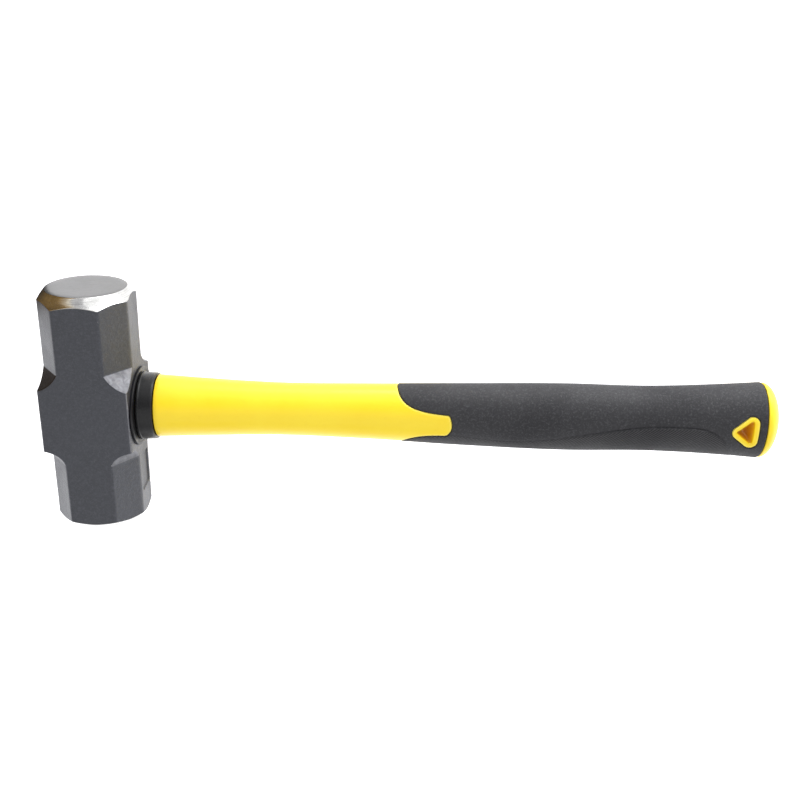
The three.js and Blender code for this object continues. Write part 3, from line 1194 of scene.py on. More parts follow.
    def eye(self) -> bpy.types.Object:
        """The oval taper that is cut through the head, with a broken edge at its back.

        Returns:
            The cutting solid.
        """
        half = self.width / 2
        depth, wider = self.eye_break
        x = np.array([-half - 0.2, -half + depth, half + 0.5])
        share = 0.5 - x / self.width
        mouths = zip(self.eye_near, self.eye_far)
        sizes = (near + (far - near) * share + np.array([wider, 0, 0]) for near, far in mouths)
        builder = Builder()
        columns = (values[:, None] for values in (x, *sizes))
        ids = builder.rings(oval_rings(*columns, np.array(DROP), turns(self.grid.eye)[None]))
        builder.cap(ids[0], np.array([x[0], -DROP, 0]), far=False)
        builder.cap(ids[-1], np.array([x[-1], -DROP, 0]), far=True)
        return builder.mesh("eye_cutter")

    def panel(self) -> bpy.types.Object:
        """The shallow tray sunk in the handle side of one pole.

        Returns:
            The cutting solid.
        """
        bottom = self.width / 2 - self.panel_depth
        builder = Builder()
        rings = []
        for height, grow in self.panel_wall:
            y, z = self.panel_size[0] / 2 + grow, self.panel_size[1] / 2 + grow
            outline = rounded([(y, -z), (y, z), (-y, z), (-y, -z)], self.panel_round + grow)
            rings.append([(bottom + height, self.panel_centre + p[0], p[1]) for p in outline])
        ids = builder.rings(np.array(rings))
        builder.cap(ids[0], np.array([rings[0][0][0], self.panel_centre, 0]), far=False)
        builder.cap(ids[-1], np.array([rings[-1][0][0], self.panel_centre, 0]), far=True)
        return builder.mesh("panel_cutter")

    def dress(self, made: bpy.types.Object) -> None:
        """Gives the head its coating and the two kinds of ground steel.

        Args:
            made: The head.
        """
        bevel = GroundSteel(
            name="ground_bevel_steel",
            light=grey(0.56, 0.98),
            shade=grey(0.30, 0.97),
            roughness=0.17,
            course=Course.AROUND,
            lines=0.5,
            depth=0.006,
            patches=0.7,
        )
        face = GroundSteel(
            name="ground_face_steel",
            light=grey(0.165, 0.99),
            shade=grey(0.12, 0.98),
            roughness=0.38,
            course=Course.ACROSS,
            lines=0.3,
            depth=0.002,
            patches=0.08,
        )
        for finish in (CoatedSteel(), bevel, face):
            made.data.materials.append(finish.build())

    def carve(self, made: bpy.types.Object) -> None:
        """Cuts the eye and the panel."""
        cut(made, self.eye())
        cut(made, self.panel())
        made.data.set_sharp_from_angle(angle=self.crease_angle)

    def mark(self, made: bpy.types.Object) -> None:
        """Marks the edges, where the coating wears, and the scoops: lighter as-forged steel, brightest on
        the upper-right one as a painted highlight, and a painted dark brown reflection on the upper-left
        one.

        Args:
            made: The head.
        """
        places = places_of(made)
        faces = self.faces_at(*places.T)
        order = np.sort(np.stack(faces), 0)
        write_value(made, "edge", np.clip(1 - (order[-1] - order[-2]) / self.worn_width, 0, 1))
        share = self.share(places[:, 1])
        hollow = np.isclose(order[-1], faces[2]) & (share < 0.985)
        upper, right = places[:, 1] > 0, places[:, 0] > 0
        mask = hollow * smoothstep(0.02, 0.1, share)
        # Scoops show as-forged steel, at full strength on the upper-right scoop as a painted highlight, and
        # none on the upper-left.
        write_value(made, "scoop", mask * np.where(upper, np.where(right, 1.0, 0.0), 0.6))
        # The upper-left scoop gets the painted dark brown reflection.
        write_value(made, "painted_brown_reflection", mask * (upper & ~right))


@dataclass
class CoreRod(Piece):
    """The fibreglass rod that carries the load, with its sawn ends just broken."""

    name: ClassVar[str] = "fibreglass_core"
    node: ClassVar[str] = "handle_core"
    slot: ClassVar[str] = "fibreglass"
    end: float = 330.0
    broken: tuple[float, float] = (0.1, 0.4)
    columns: int = 144

    def shape(self) -> bpy.types.Object:
        """Makes the rod.

        Returns:
            The new object.
        """
        start, end = -HEAD_HIGH[0] + RECESS, self.end
        less, more = self.broken
        x = np.array([start, start + less, start + more, 0, end - more, end])
        inset = np.array([more, less, 0, 0, 0, more])
        sizes = (x[:, None], (CORE_TALL - inset)[:, None], (CORE_DEEP - inset)[:, None])
        builder = Builder()
        ids = builder.rings(oval_rings(*sizes, np.array(DROP), turns(self.columns)[None]))
        builder.cap(ids[0], np.array([start, -DROP, 0]), far=False)
        builder.cap(ids[-1], np.array([end, -DROP, 0]), far=True)
        return builder.mesh(self.name)

    def dress(self, made: bpy.types.Object) -> None:
        """Gives the rod its glass strands."""
        made.data.materials.append(Fibreglass().build())


@dataclass
class EyeResin(Piece):
    """The resin round the rod, with a sunken surface that climbs the steel and the rod."""

    name: ClassVar[str] = "eye_resin"
    node: ClassVar[str] = "epoxy_potting"
    slot: ClassVar[str] = "potting_resin"
    head: HammerHead
    gap: float = 0.06
    sink: float = 0.9
    lip: float = 0.3
    short: float = 0.1
    back_rows: int = 13
    side_rows: int = 8
    columns: int = 144

    def shape(self) -> bpy.types.Object:
        """Makes the plug as a tube with a closed wall.

        Returns:
            The new object.
        """
        head, half = self.head, self.head.width / 2
        across = np.linspace(0, 1, self.back_rows)
        back_x = -half + RECESS + self.sink * np.sin(across * math.pi) ** 0.6
        side_x = np.linspace(-half + RECESS + self.lip, half - self.short, self.side_rows)
        x = np.concatenate([back_x, side_x, side_x[::-1]])
        share = 0.5 - x / head.width
        steel = [near + (far - near) * share - self.gap for near, far in zip(head.eye_near, head.eye_far)]
        rod = (CORE_TALL + self.gap, CORE_DEEP + self.gap)
        out = np.concatenate([across, np.ones(self.side_rows), np.zeros(self.side_rows)])
        tall, deep = (inner + (outer - inner) * out for inner, outer in zip(rod, steel))
        sizes = (values[:, None] for values in (x, tall, deep))
        builder = Builder()
        builder.rings(oval_rings(*sizes, np.array(DROP), turns(self.columns)[None]), looped=True)
        return builder.mesh(self.name)

    def dress(self, made: bpy.types.Object) -> None:
        """Gives the plug its cured surface."""
        made.data.materials.append(PottingResin().build())


@dataclass
class SealRing(Piece):
    """The thin oval seal on the eye's mouth, its rim rounded and a shallow step in its outer face."""

    name: ClassVar[str] = "eye_seal_ring_lip"
    node: ClassVar[str] = "eye_seal_ring"
    slot: ClassVar[str] = "seal_rubber"
    outer: tuple[float, float] = (20.8, 24.0)
    bore: tuple[float, float] = (11.2, 8.7)
    land: tuple[float, float] = (1.5, 1.9)
    step: float = 0.25
    edge: float = 0.2

    def shape(self) -> bpy.types.Object:
        """Makes the ring.

        Returns:
            The new object.
        """
        start, end, low = SEAL_LOW[0], SEAL_HIGH[0], SEAL_HIGH[0] - self.step
        wall = self.outer[0] - self.bore[0]
        step = [(end, self.land[0]), (low, self.land[1])]
        section = [(start, 0), (end, 0), *step, (low, wall), (start, wall)]
        builder = Builder()
        builder.rings(profile_ring(rounded(section, self.edge, 5), self.outer, self.bore), looped=True)
        return builder.mesh(self.name)

    def dress(self, made: bpy.types.Object) -> None:
        """Gives the ring its black rubber."""
        tones = grey(0.005, 1.1), grey(0.016, 1.1)
        rubber = BlackMoulding("seal_rubber_black", *tones, roughness=0.36, grain=0.5)
        made.data.materials.append(rubber.build())


@dataclass
class Collar(Piece):
    """The collar over the front of the handle, a short sleeve with a small foot and a rolled front lip."""

    name: ClassVar[str] = "neck_collar_sleeve"
    node: ClassVar[str] = "neck_collar"
    slot: ClassVar[str] = "collar_plastic"
    bore: float = 14.6
    foot: tuple[float, float] = (0.9, 1.4)
    waist: tuple[float, float] = (0.25, 0.45)
    lip: tuple[float, float] = (0.9, 0.7)
    edge: float = 0.25

    def shape(self) -> bpy.types.Object:
        """Makes the collar.

        Returns:
            The new object.
        """
        start, end = COLLAR_LOW[0], COLLAR_HIGH[0]
        radius = (COLLAR_HIGH[1] - COLLAR_LOW[1]) / 2
        wall = radius - self.bore
        outside = [(start, 0), (start + self.foot[0], 0), (start + self.foot[1], self.waist[0])]
        outside += [(end - self.lip[0], self.waist[1]), (end, self.lip[1])]
        section = rounded([*outside, (end, wall), (start, wall)], self.edge, 5)
        builder = Builder()
        builder.rings(profile_ring(section, (radius, radius), (self.bore, self.bore)), looped=True)
        return builder.mesh(self.name)

    def dress(self, made: bpy.types.Object) -> None:
        """Gives the collar its black plastic."""
        tones = grey(0.007, 1.05), grey(0.018, 1.05)
        plastic = BlackMoulding("collar_plastic_black", *tones, roughness=0.3, grain=0.9)
        made.data.materials.append(plastic.build())


@dataclass(frozen=True)
class Station:
    """One oval section of the handle."""

    x: float
    tall: float
    deep: float
    drop: float


@dataclass
class HandleForm:
    """The handle's outside, and the outlines that divide it into yellow and black."""

    stations: tuple[Station, ...] = (
        Station(34, 17.0, 16.5, 1.1),
        Station(60, 15.8, 14.6, 1.3),
        Station(98, 14.6, 12.9, 1.5),
        Station(146, 15.4, 13.2, 1.8),
        Station(194, 17.0, 14.5, 2.4),
        Station(254, 18.4, 15.7, 2.6),
        Station(298, 17.9, 15.3, 2.4),
        Station(338, 19.6, 16.7, 2.1),
        Station(358, 21.0, 17.9, 2.0),
    )
    columns: int = 320
    grip_start: float = 162.0
    grip_end: float = 357.4
    tab_end: float = 191.6
    tab_curves: tuple[tuple[int, tuple[tuple[float, float], ...]], ...] = (
        (26, ((162, 15), (164.5, 5.6), (174, 3.2), (189, 2.2))),
        (7, ((189, 2.2), (190.5, 2.1), (190.7, 0.9))),
        (14, ((190.7, 0.9), (192.1, -2.5), (191.9, -6.5), (190.5, -8.3))),
        (7, ((190.5, -8.3), (189.7, -10.1), (187.8, -10.2))),
        (24, ((187.8, -10.2), (175.6, -10.3), (168, -12.2), (163, -19))),
    )
    belly_course: tuple[tuple[float, float], ...] = (
        (160, -0.36), (191.8, -0.40), (225, -0.53), (260, -0.25), (299, 0.05), (318, 0.05)
    )
    belly_drop: tuple[tuple[float, float], ...] = ((333, 0.4), (341, 34), (343.5, 48))
    hole_base: float = 350.5
    hole_tip: float = 341.4
    hole_half: float = 7.6
    hole_drop: float = 3.0
    hole_rim: float = 2.7
    around: float = 17.0

    def ovals(self, x: np.ndarray) -> np.ndarray:
        """Half height, half depth and drop at places along the handle, on smooth curves.

        Args:
            x: The places.

        Returns:
            The three sizes, last in the array.
        """
        known = np.array([s.x for s in self.stations], float)
        values = np.array([(s.tall, s.deep, s.drop) for s in self.stations])
        slopes = np.gradient(values, known, axis=0, edge_order=2)
        return hermite(np.clip(x, known[0], known[-1]), known, values, slopes)

    def tab_outline(self) -> np.ndarray:
        """The edge of the yellow at the grip's front, closed far off towards the head.

        Returns:
            The outline's points, one row each.
        """
        far = 60
        points = [point for count, curve in self.tab_curves for point in bezier(list(curve), count)]
        first, last = self.tab_curves[0][1][0], self.tab_curves[-1][1][-1]
        return np.array([(0, far), (first[0], far), *points, last, (last[0], -far), (0, -far)])

    def hole_outline(self, grow: float) -> np.ndarray:
        """The hanging hole's rounded triangle, larger all round by grow.

        Args:
            grow: How far out it moves.

        Returns:
            The outline's points, one row each.
        """
        length = self.hole_base - self.hole_tip
        inner = self.hole_half * length / (self.hole_half + math.hypot(length, self.hole_half))
        scale = (inner + grow) / inner
        base = self.hole_base + grow
        half = self.hole_half * scale
        tip = (base - length * scale, -self.hole_drop)
        return rounded([tip, (base, -half - self.hole_drop), (base, half - self.hole_drop)], 1 + grow, 10)

    def belly_outline(self) -> np.ndarray:
        """The edge of the hatched belly, as place along X and arc round from the top of the handle.

        Returns:
            The outline's points, one row each.
        """
        run = np.array([(x, math.acos(share) * self.around) for x, share in self.belly_course])
        slopes = np.gradient(run[:, 1], run[:, 0])[:, None]
        slopes[-1] = 0
        x = np.linspace(run[0, 0], run[-1, 0], 60)
        line = list(zip(x, hermite(x, run[:, 0], run[:, 1:], slopes)[:, 0]))
        (drop_x, lower), *rest = self.belly_drop
        drop = [tuple(run[-1]), (drop_x, run[-1, 1] + lower), *rest]
        under = math.pi * self.around + 8
        closing = [rest[-1], (344, under), (150, under), (150, 40)]
        return np.array([*line[:-1], *bezier(drop, 24), *closing])


class Skin:
    """A grid over the handle whose points can be drawn onto an outline, so that an edge is crisp."""

    def __init__(self, form: HandleForm, x: np.ndarray, inset: np.ndarray, low: np.ndarray) -> None:
        """Lays the grid out.

        Args:
            form: The handle's outside.
            x: Each row's place along the handle.
            inset: How far each row lies inside the handle's outside.
            low: How much further in it lies where it runs under another piece.
        """
        self.form = form
        self.table = np.column_stack([x, form.ovals(x) - np.outer(inset, [1, 1, 0]), low])
        rows = np.arange(len(x), dtype=float)
        self.row, self.turn = (g.copy() for g in np.meshgrid(rows, turns(form.columns), indexing="ij"))

    def column(self, which: int) -> np.ndarray:
        """One column of the row table at every grid point."""
        return np.interp(self.row, np.arange(len(self.table)), self.table[:, which])

    def plan(self) -> tuple[np.ndarray, np.ndarray]:
        """X and Y of every grid point."""
        return self.column(0), self.column(1) * np.cos(self.turn) - self.column(3)

    def arc(self) -> np.ndarray:
        """How far round from the top each grid point lies, the same on both sides."""
        return np.abs((self.turn + math.pi) % TURN - math.pi) * self.form.around

    def places(self, inset: np.ndarray | float) -> np.ndarray:
        """The grid's points, further in by the inset."""
        tall, deep = self.column(1) - inset, self.column(2) - inset
        return oval_rings(self.column(0), tall, deep, self.column(3), self.turn)

    def snap(self, level: np.ndarray) -> np.ndarray:
        """Draws the nearest grid points onto the line where level is zero, the same on both sides.

        Args:
            level: A signed distance at each grid point.

        Returns:
            The level, with zero at each point that was moved.
        """
        best = np.full(level.shape, np.inf)
        moves = np.zeros((*level.shape, 2))
        length = np.gradient(self.column(0), axis=0)
        for axis in (0, 1):
            after = np.roll(level, -1, axis)
            crossing = level * after < 0
            if axis == 0:
                crossing[-1] = False
            share = np.where(crossing, level / np.where(crossing, level - after, 1), 0)
            step = np.array([1, 0]) if axis == 0 else np.array([0, TURN / self.form.columns])
            size = length if axis == 0 else np.full(level.shape, step[1] * self.form.around)
            for part, amount in ((share, 1), (share - 1, -1)):
                take = crossing & (np.abs(part) <= 0.5)
                move, cost, valid = part[..., None] * step, np.abs(part) * size, take
                if amount < 0:
                    move, cost, valid = (np.roll(v, 1, axis) for v in (move, cost, take))
                better = valid & (cost < best)
                best = np.where(better, cost, best)
                moves = np.where(better[..., None], move, moves)
        half = self.form.columns // 2
        level = np.where(np.isfinite(best), 0, level)
        moves[:, [0, half], 1] = 0
        for grid in (level, moves[..., 0]):
            grid[:, half + 1 :] = grid[:, half - 1 : 0 : -1]
        moves[:, half + 1 :, 1] = -moves[:, half - 1 : 0 : -1, 1]
        self.row += moves[..., 0]
        self.turn += moves[..., 1]
        return level

    def cells(self, level: np.ndarray, other: np.ndarray | float = 1.0) -> tuple[np.ndarray, np.ndarray]:
        """The grid's faces as triangles, each with the sign of the level on it.

        Args:
            level: A snapped level.
            other: A second snapped level, whose line the triangles' edges follow too.

        Returns:
            Vertex numbers in threes, and one sign for each triangle.
        """
        rows, columns = level.shape
        half = columns // 2
        number = np.arange(rows * columns).reshape(rows, columns)
        a, b = number[:-1, :half].ravel(), number[1:, :half].ravel()
        d, c = number[:-1, 1 : half + 1].ravel(), number[1:, 1 : half + 1].ravel()
        sign = np.sign(level).ravel()
        on_line = (level * other == 0).ravel()
        across = on_line[b] & on_line[d] & ~(on_line[a] & on_line[c])
        first = np.where(across[:, None], np.stack([a, d, b], 1), np.stack([a, d, c], 1))
        second = np.where(across[:, None], np.stack([b, d, c], 1), np.stack([a, c, b], 1))
        near = np.concatenate([first, second])
        far = near // columns * columns + -near % columns
        faces = np.concatenate([near, far[:, ::-1]])
        total = sign[faces].sum(1)
        return faces, np.where(total > 0, 1, -1)

    @staticmethod
    def border(faces: np.ndarray, count: int) -> np.ndarray:
        """The directed edges that only one of these triangles has."""
        pairs = np.concatenate([faces[:, [0, 1]], faces[:, [1, 2]], faces[:, [2, 0]]])
        there, back = pairs[:, 0] * count + pairs[:, 1], pairs[:, 1] * count + pairs[:, 0]
        return pairs[~np.isin(there, back)]


@dataclass
class Jacket(Piece):
    """The yellow moulding: neck, tab, the hanging hole's rim and the domed butt."""

    name: ClassVar[str] = "yellow_handle_jacket"
    node: ClassVar[str] = "handle_jacket"
    slot: ClassVar[str] = "yellow_plastic"
    form: HandleForm
    under: float = 3.0
    lowered: float = 0.12
    edge: float = 0.55
    mouth: float = 0.9
    spigot: float = 14.1
    neck_edge: tuple[tuple[float, float], ...] = ((0.3, 0.5), (0.55, 0.15))
    fine: float = 0.42
    margin: float = 2.5
    dome: float = 9.1
    dome_turn: float = math.radians(83.5)
    dome_rows: int = 22
    butt_step: float = 0.3
    bore_end: float = 330.3
    bore_gap: float = 0.3
    tunnel_rings: tuple[float, ...] = (0.04, 0.12, 0.3, 0.5, 0.7, 0.88, 0.96)
    # Width of the painted highlight along the yellow's edges.
    highlight_rim_width: float = 0.75
    crease: float = 34

    def rows(self) -> tuple[np.ndarray, np.ndarray, np.ndarray]:
        """Each row's place, inset and extra inset where it runs under the grip.

        Returns:
            Three arrays with one number for each row.
        """
        form, mouth = self.form, COLLAR_HIGH[0]
        spigot = form.ovals(np.array([mouth]))[0, 0] - self.spigot
        neck_x, neck_inset = zip(*self.neck_edge)
        front = np.array([SEAL_HIGH[0] + self.bore_gap, mouth + 0.05, *(mouth + x for x in neck_x)])
        zone = form.grip_start - self.margin, form.tab_end + self.margin
        hole = form.hole_tip - 4.5, form.grip_end - 0.4
        loose = (front[-1] + 0.4, zone[0], 2.5), (zone[1], hole[0], 6)
        main = spaced(loose[0], (*zone, self.fine), loose[1], (*hole, self.fine))
        turn = np.linspace(0, self.dome_turn, self.dome_rows)
        step = form.grip_end + self.butt_step
        butt = step + self.dome * np.sin(turn)
        tall, _, _ = form.ovals(np.array([form.grip_end]))[0]
        fallen = (tall - 0.5) * (1 - np.cos(turn)) + 0.35 * (turn == 0)
        x = np.concatenate([front, main, [step - 0.02], butt])
        flat = np.zeros(len(main))
        inset = np.concatenate([[spigot, spigot, *neck_inset], flat, [self.under], fallen + self.butt_step])
        low = np.concatenate([np.zeros(len(front)), flat + self.under, np.zeros(len(butt) + 1)])
        return x, inset, low

    def shape(self) -> bpy.types.Object:
        """Makes the jacket as one closed moulding with the hole through it.

        Returns:
            The new object.
        """
        form = self.form
        skin = Skin(form, *self.rows())
        tip = form.ovals(np.array([form.grip_end]))[0]
        last = skin.table[:, 0] > form.grip_end + self.butt_step - 0.01
        skin.table[last, 2] = skin.table[last, 1] * tip[1] / tip[0]
        x, y = skin.plan()
        rim = signed_distance(x, y, form.hole_outline(form.hole_rim))
        yellow = skin.snap(-np.minimum(signed_distance(x, y, form.tab_outline()), rim))
        x, y = skin.plan()
        hole = skin.snap(signed_distance(x, y, form.hole_outline(0)))
        x, y = skin.plan()
        count = x.size
        depth = np.where(yellow >= 0, edge_round(yellow, self.edge), 0)
        depth = np.maximum(depth, edge_round(np.maximum(hole, 0), self.mouth))
        depth += self.lowered * (yellow >= 0)
        builder = Builder()
        high = builder.points(skin.places(depth)).ravel()
        low = builder.points(skin.places(skin.column(4))).ravel()
        level = yellow.ravel()
        faces, side = skin.cells(yellow, hole)
        total = level[faces].sum(1)
        side = np.where(total == 0, side, np.sign(total))
        shown = faces[(side > 0) & (hole.ravel()[faces].sum(1) >= 0)]
        builder.faces.extend(high[shown].tolist())
        builder.faces.extend(low[faces[side < 0]].tolist())
        borders = skin.border(shown, count)
        mouth = hole.ravel()[borders].max(1) == 0
        rim = ~mouth & (level[borders] == 0).all(1)
        builder.faces.extend([high[b], high[a], low[a], low[b]] for a, b in borders[rim])
        start = builder.count
        self.tunnel(builder, high, borders[mouth])
        bore = np.arange(start, builder.count)
        self.ends(builder, high, low, skin)
        # The rim attribute carries a painted highlight along the yellow's edges.
        light = np.zeros(builder.count)
        light[: level.size] = np.exp(-((level / self.highlight_rim_width) ** 2)) * (level >= 0)
        # The bore is marked for its painted orange shade.
        deep = np.zeros(builder.count)
        deep[bore] = 1
        made = builder.mesh(self.name, self.crease)
        write_value(made, "rim", light[builder.used])
        write_value(made, "deep", deep[builder.used])
        return made

    def tunnel(self, builder: Builder, high: np.ndarray, borders: np.ndarray) -> None:
        """The hole's wall, from its mouth on one side of the handle to its mouth on the other.

        Args:
            builder: Where the wall is added.
            high: The outer surface's vertex numbers.
            borders: The directed edges of both mouths.
        """
        columns = self.form.columns
        places = np.concatenate(builder.parts)
        upper = borders[(borders[:, 0] % columns > 0) & (borders[:, 0] % columns < columns / 2)]
        walls = {}
        for v in np.unique(upper):
            mirror = high[(v // columns) * columns + (-v) % columns]
            ends = places[high[v]], places[mirror]
            inner = builder.points(np.array([ends[0] + (ends[1] - ends[0]) * s for s in self.tunnel_rings]))
            walls[int(v)] = [high[v], *inner, mirror]
        for a, b in upper:
            near, far = walls[int(a)], walls[int(b)]
            steps = zip(near, near[1:], far, far[1:])
            builder.faces.extend([b0, a0, a1, b1] for a0, a1, b0, b1 in steps)

    def ends(self, builder: Builder, high: np.ndarray, low: np.ndarray, skin: Skin) -> None:
        """The bore for the rod, the front ring and the tip of the dome.

        Args:
            builder: Where they are added.
            high: The outer surface's vertex numbers.
            low: The vertex numbers of the surface that runs under the grip.
            skin: The grid over the jacket.
        """
        columns = skin.form.columns
        x0 = skin.table[0, 0]
        size = (CORE_TALL + self.bore_gap, CORE_DEEP + self.bore_gap)
        bore = np.array([[self.bore_end], [x0]])
        rings = oval_rings(bore, *(np.full((2, 1), s) for s in size), np.array(DROP), turns(columns)[None])
        ids = builder.points(rings)
        builder.cap(ids[0], np.array([self.bore_end, -DROP, 0]), far=False)
        builder.bridge(ids[0], ids[1])
        builder.bridge(ids[1], high[:columns])
        tip = skin.table[-1]
        builder.cap(low[-columns:], np.array([tip[0] + 0.004, -tip[3], 0]), far=True)

    def dress(self, made: bpy.types.Object) -> None:
        """Gives the moulding its yellow plastic."""
        made.data.materials.append(YellowPlastic().build())

    def mark(self, made: bpy.types.Object) -> None:
        """Marks the faint parting line and the painted shade where the yellow meets the collar."""
        places = places_of(made)
        parting = 0.25 * np.exp(-((places[:, 2] / 0.25) ** 2))
        # The second term is painted shade along the yellow's edge at the collar.
        write_value(made, "parting_and_collar_shade", np.maximum(parting, np.exp(-np.abs(places[:, 0] - COLLAR_HIGH[0]) / 0.7)))


@dataclass
class Grip(Piece):
    """The black overmould: a sleeve with windows for the tab and the hole's rim, and a hatched belly."""

    name: ClassVar[str] = "black_grip_sleeve"
    node: ClassVar[str] = "grip"
    slot: ClassVar[str] = "grip_rubber"
    form: HandleForm
    wall: float = 2.7
    pocket: float = 4.2
    gap: float = 0.14
    edge: float = 0.6
    start_lap: float = 1.6
    end_round: float = 1.3
    end_rows: int = 8
    fine: float = 0.42
    loose: float = 1.1
    groove: float = 0.75
    groove_width: float = 0.5
    belly_sink: float = 0.16
    pebble: float = 0.012
    bore_columns: int = 96
    crease: float = 40

    def rows(self) -> tuple[np.ndarray, np.ndarray]:
        """Each row's place and inset, fine where an outline crosses and round at the end.

        Returns:
            Two arrays with one number for each row.
        """
        form, main_end = self.form, self.form.grip_end - self.end_round
        tab, hole = form.tab_end + 2.5, 326
        first = form.grip_start - self.start_lap
        main = spaced((first, tab, self.fine), (tab, hole, self.loose), (hole, main_end, self.fine))[:-1]
        turn = np.linspace(0, math.pi / 2, self.end_rows)
        x = np.concatenate([main, main_end + self.end_round * np.sin(turn)])
        return x, np.concatenate([np.zeros(len(main)), self.end_round * (1 - np.cos(turn))])

    def relief(self, skin: Skin, black: np.ndarray, belly: np.ndarray) -> np.ndarray:
        """How deep each point lies: the rounded windows, the groove, the sunken belly and the pebbling.

        Args:
            skin: The grid over the grip.
            black: Distance in from the yellow windows.
            belly: Distance out from the belly's edge.

        Returns:
            The depth at each grid point.
        """
        x, _ = skin.plan()
        channel = self.groove * np.exp(-((belly / self.groove_width) ** 2))
        channel += self.belly_sink * smoothstep(-0.4, 0.6, belly) * smoothstep(9, 2, belly)
        channel *= 0.35 + 0.65 * smoothstep(192, 226, x)
        channel *= 1 - 0.85 * smoothstep(27, 36, skin.arc())
        random = np.random.default_rng(4)
        pebble = np.abs(random.normal(0, self.pebble, x.shape)) * (black > 0.6)
        return edge_round(np.maximum(black, 0), self.edge) + channel * (black > 0.4) + pebble

    def shape(self) -> bpy.types.Object:
        """Makes the sleeve before its bore is cut.

        Returns:
            The new object.
        """
        form = self.form
        x, inset = self.rows()
        skin = Skin(form, x, inset, np.full(len(x), self.pocket))
        x, y = skin.plan()
        rim = signed_distance(x, y, form.hole_outline(form.hole_rim))
        black = skin.snap(np.minimum(signed_distance(x, y, form.tab_outline()), rim) - self.gap)
        belly = signed_distance(skin.column(0), skin.arc(), form.belly_outline())
        belly = skin.snap(np.where(black > 0.6, belly, np.abs(belly) + 0.1))
        builder = Builder()
        high = builder.points(skin.places(self.relief(skin, black, belly))).ravel()
        low = builder.points(skin.places(self.pocket)).ravel()
        faces, side = skin.cells(black)
        builder.faces.extend(high[faces[side > 0]].tolist())
        builder.faces.extend(low[faces[side < 0]].tolist())
        for a, b in skin.border(faces[side > 0], black.size):
            if black.ravel()[a] == 0 and black.ravel()[b] == 0:
                builder.faces.append([high[b], high[a], low[a], low[b]])
        columns = form.columns
        start, end = skin.table[0], skin.table[-1]
        builder.cap(low[:columns], np.array([start[0], -start[3], 0]), far=False)
        builder.cap(high[-columns:], np.array([end[0], -end[3], 0]), far=True)
        return builder.mesh(self.name, self.crease)

    def dress(self, made: bpy.types.Object) -> None:
        """Gives the sleeve its rubber."""
        made.data.materials.append(GripRubber().build())

    def carve(self, made: bpy.types.Object) -> None:
        """Hollows the sleeve out."""
        cut(made, self.bore())
        made.data.set_sharp_from_angle(angle=math.radians(self.crease))

    def bore(self) -> bpy.types.Object:
        """The solid that hollows the sleeve out.

        Returns:
            The cutting solid.
        """
        form = self.form
        x = spaced((form.grip_start - 8, form.grip_end + 4, 8))
        sizes = form.ovals(x) - np.array([self.wall, self.wall, 0])
        builder = Builder()
        columns = (sizes[:, [i]] for i in range(3))
        ids = builder.rings(oval_rings(x[:, None], *columns, turns(self.bore_columns)[None]))
        builder.cap(ids[0], np.array([x[0], -sizes[0, 2], 0]), far=False)
        builder.cap(ids[-1], np.array([x[-1], -sizes[-1, 2], 0]), far=True)
        return builder.mesh("grip_bore")

    def mark(self, made: bpy.types.Object) -> None:
        """Marks the belly and the course of its hatch.

        Args:
            made: The sleeve.
        """
        form = self.form
        places = places_of(made)
        sizes = form.ovals(places[:, 0])
        angle = np.abs(np.arctan2(places[:, 2] / sizes[:, 1], (places[:, 1] + sizes[:, 2]) / sizes[:, 0]))
        arc = angle * form.around
        inside = -signed_distance(places[:, 0], arc, form.belly_outline())
        write_value(made, "belly", smoothstep(0.5, 1.0, inside))
        write_value(made, "along", places[:, 0])
        write_value(made, "round", arc)


# ---------------------------------------------------------------- studio
@dataclass(frozen=True)
class Softbox:
    """One soft rectangular light: its place in metres, its width and height, and its power in watts."""

    name: str
    place: tuple[float, float, float]
    size: tuple[float, float]
    power: float

    def build(self, aim: tuple[float, float, float]) -> None:
        """Sets the light up, facing the aim."""
        data = bpy.data.lights.new(self.name, "AREA")
        data.shape, data.size, data.size_y, data.energy = "RECTANGLE", *self.size, self.power
        made = bpy.data.objects.new(self.name, data)
        made.location = self.place
        made.rotation_euler = (Vector(aim) - Vector(self.place)).to_track_quat("-Z", "Y").to_euler()
        bpy.context.scene.collection.objects.link(made)


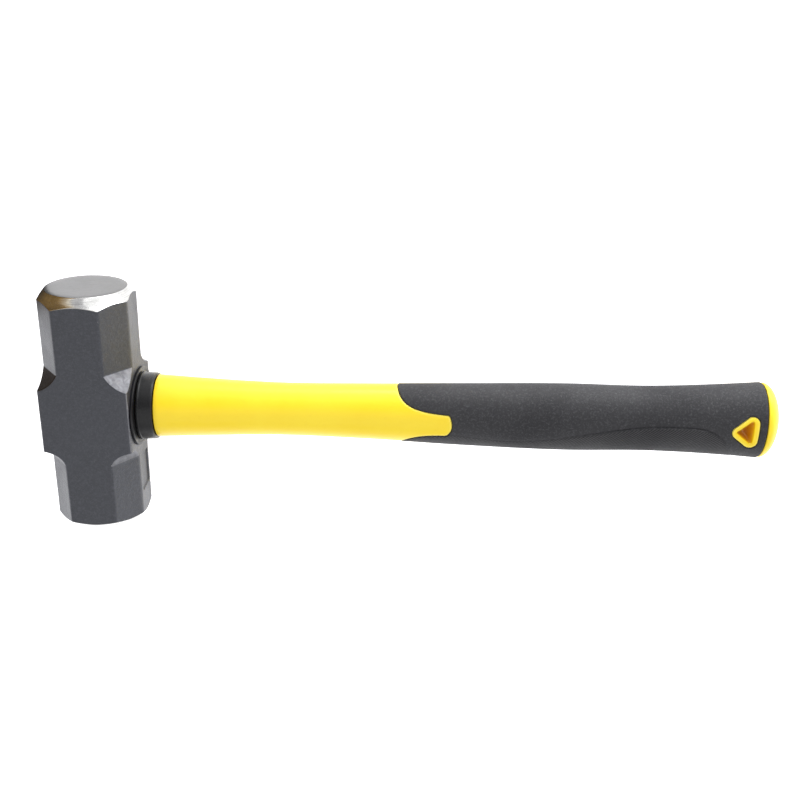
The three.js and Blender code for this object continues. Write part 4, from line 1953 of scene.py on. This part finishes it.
@dataclass
class Studio:
    """A pale lit table, two soft lights, a warm card and the camera."""

    softboxes: tuple[Softbox, ...] = (
        Softbox("overhead_softbox", (0.17, -0.5, 1.65), (2.2, 1.8), 10),
        Softbox("key_softbox", (0.72, 1.0, 0.4), (1.5, 0.9), 5),
    )
    aim: tuple[float, float, float] = (0.17, 0.0, 0.03)
    floor_size: float = 9.0
    floor_drop: float = 0.00005
    near_glow: Colour = grey(1.08, 1.02)
    far_glow: Colour = grey(8.0)
    horizon: Colour = grey(1.38, 1.03)
    zenith: Colour = grey(0.42, 1.03)
    card_folds: tuple[tuple[float, float], ...] = ((-0.031, 0.001), (-0.13, 0.075), (-0.165, 0.23))
    card_ends: tuple[float, float] = (0.045, 0.55)
    card_browns: tuple[Colour, Colour] = ((0.17, 0.10, 0.03, 1), (0.30, 0.19, 0.07, 1))
    card_top: Colour = (0.5, 0.46, 0.38, 1)
    card_foot: Colour = grey(0.03)
    camera_place: tuple[float, float, float] = (0.16657, 0.22740, 0.56613)
    camera_turn: tuple[float, float, float] = (-0.39, 0.005, 0.02)
    lens: float = 48.9

    def floor(self) -> None:
        """A wide pale floor that glows, so that it reads as lit and shadows on it vanish, and that glows
        far brighter in a strip beyond the head, where it lights the hammer like a lamp.
        """
        half = self.floor_size / 2
        data = bpy.data.meshes.new("floor")
        corners = [(-half, -half), (half, -half), (half, half), (-half, half)]
        data.from_pydata([(x, y, -self.floor_drop) for x, y in corners], [], [(0, 1, 2, 3)])
        made = bpy.data.objects.new("floor", data)
        bpy.context.scene.collection.objects.link(made)
        finish = Finish("pale_floor", Emission_Strength=1.0, Roughness=0.7)
        mottle = finish.effect(Group.HANDLING, Size=60)
        finish.drive("Base Color", finish.bench.mix(mottle.outputs[0], grey(0.9), grey(0.93)))
        bench = finish.bench
        parts = bench.axes(finish.place)
        sides = bench.rise(parts[0], 0.0, 0.14), bench.rise(parts[1], 0.1, 0.24)
        # Painted light: the glow whitens the floor and hides shadows, and the far strip acts as a low light
        # source.
        finish.drive("Emission Color", bench.mix(bench.times(*sides), self.near_glow, self.far_glow))
        data.materials.append(finish.material)

    def card(self) -> None:
        """A brown card left of the head. It is seen only in polished steel and casts no shadow."""
        data = bpy.data.meshes.new("warm_card")
        places = [(x, y, z) for x, z in self.card_folds for y in self.card_ends]
        data.from_pydata(places, [], [(0, 2, 3, 1), (2, 4, 5, 3)])
        made = bpy.data.objects.new("warm_card", data)
        bpy.context.scene.collection.objects.link(made)
        made.visible_camera = made.visible_diffuse = made.visible_shadow = False
        finish = Finish("warm_card", Roughness=0.9, Specular_IOR_Level=0.0)
        bench = finish.bench
        fibre = finish.effect(Group.HANDLING, Size=9)
        tones = bench.mix(fibre.outputs[0], *self.card_browns)
        away = bench.axes(finish.place)
        tones = bench.mix(bench.rise(away[2], 0.08, 0.19), tones, self.card_top)
        finish.drive("Base Color", bench.mix(bench.rise(away[0], -0.058, -0.036), tones, self.card_foot))
        data.materials.append(finish.material)

    def camera(self) -> None:
        """The camera, above the hammer and looking down its head."""
        data = bpy.data.cameras.new("camera")
        data.lens, data.sensor_width, data.clip_start = self.lens, 36, 0.01
        made = bpy.data.objects.new("camera", data)
        made.location = self.camera_place
        made.rotation_mode = "QUATERNION"
        x, y, z = self.camera_turn
        about = [Euler(angles).to_matrix() for angles in ((0, y, 0), (x, 0, 0), (0, 0, z))]
        made.rotation_quaternion = (about[0] @ about[1] @ about[2]).to_quaternion()
        bpy.context.scene.collection.objects.link(made)
        bpy.context.scene.camera = made

    def build(self) -> None:
        """Sets the studio up."""
        world = bpy.data.worlds.new("studio")
        world.use_nodes = True
        bench = Bench(world.node_tree)
        height = bench.axes(bench.node("TexCoord").outputs["Generated"])[2]
        tent = bench.mix(bench.rise(height, 0.05, 0.9), self.horizon, self.zenith)
        world.node_tree.links.new(tent, world.node_tree.nodes["Background"].inputs["Color"])
        bpy.context.scene.world = world
        bpy.context.scene.view_settings.view_transform = "Standard"
        self.floor()
        self.card()
        for softbox in self.softboxes:
            softbox.build(self.aim)
        self.camera()


def main() -> None:
    """Builds the hammer piece by piece, then the studio."""
    logging.basicConfig(level=logging.INFO, format="%(name)s: %(message)s")
    head, form = HammerHead(), HandleForm()
    for maker in (head, CoreRod(), EyeResin(head), SealRing(), Collar(), Jacket(form), Grip(form)):
        piece = maker.build()
        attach(piece, BODY)
        log.info("%s: %d faces", piece.name, len(piece.data.polygons))
    Studio().build()
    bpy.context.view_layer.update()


if __name__ == "__main__":
    main()
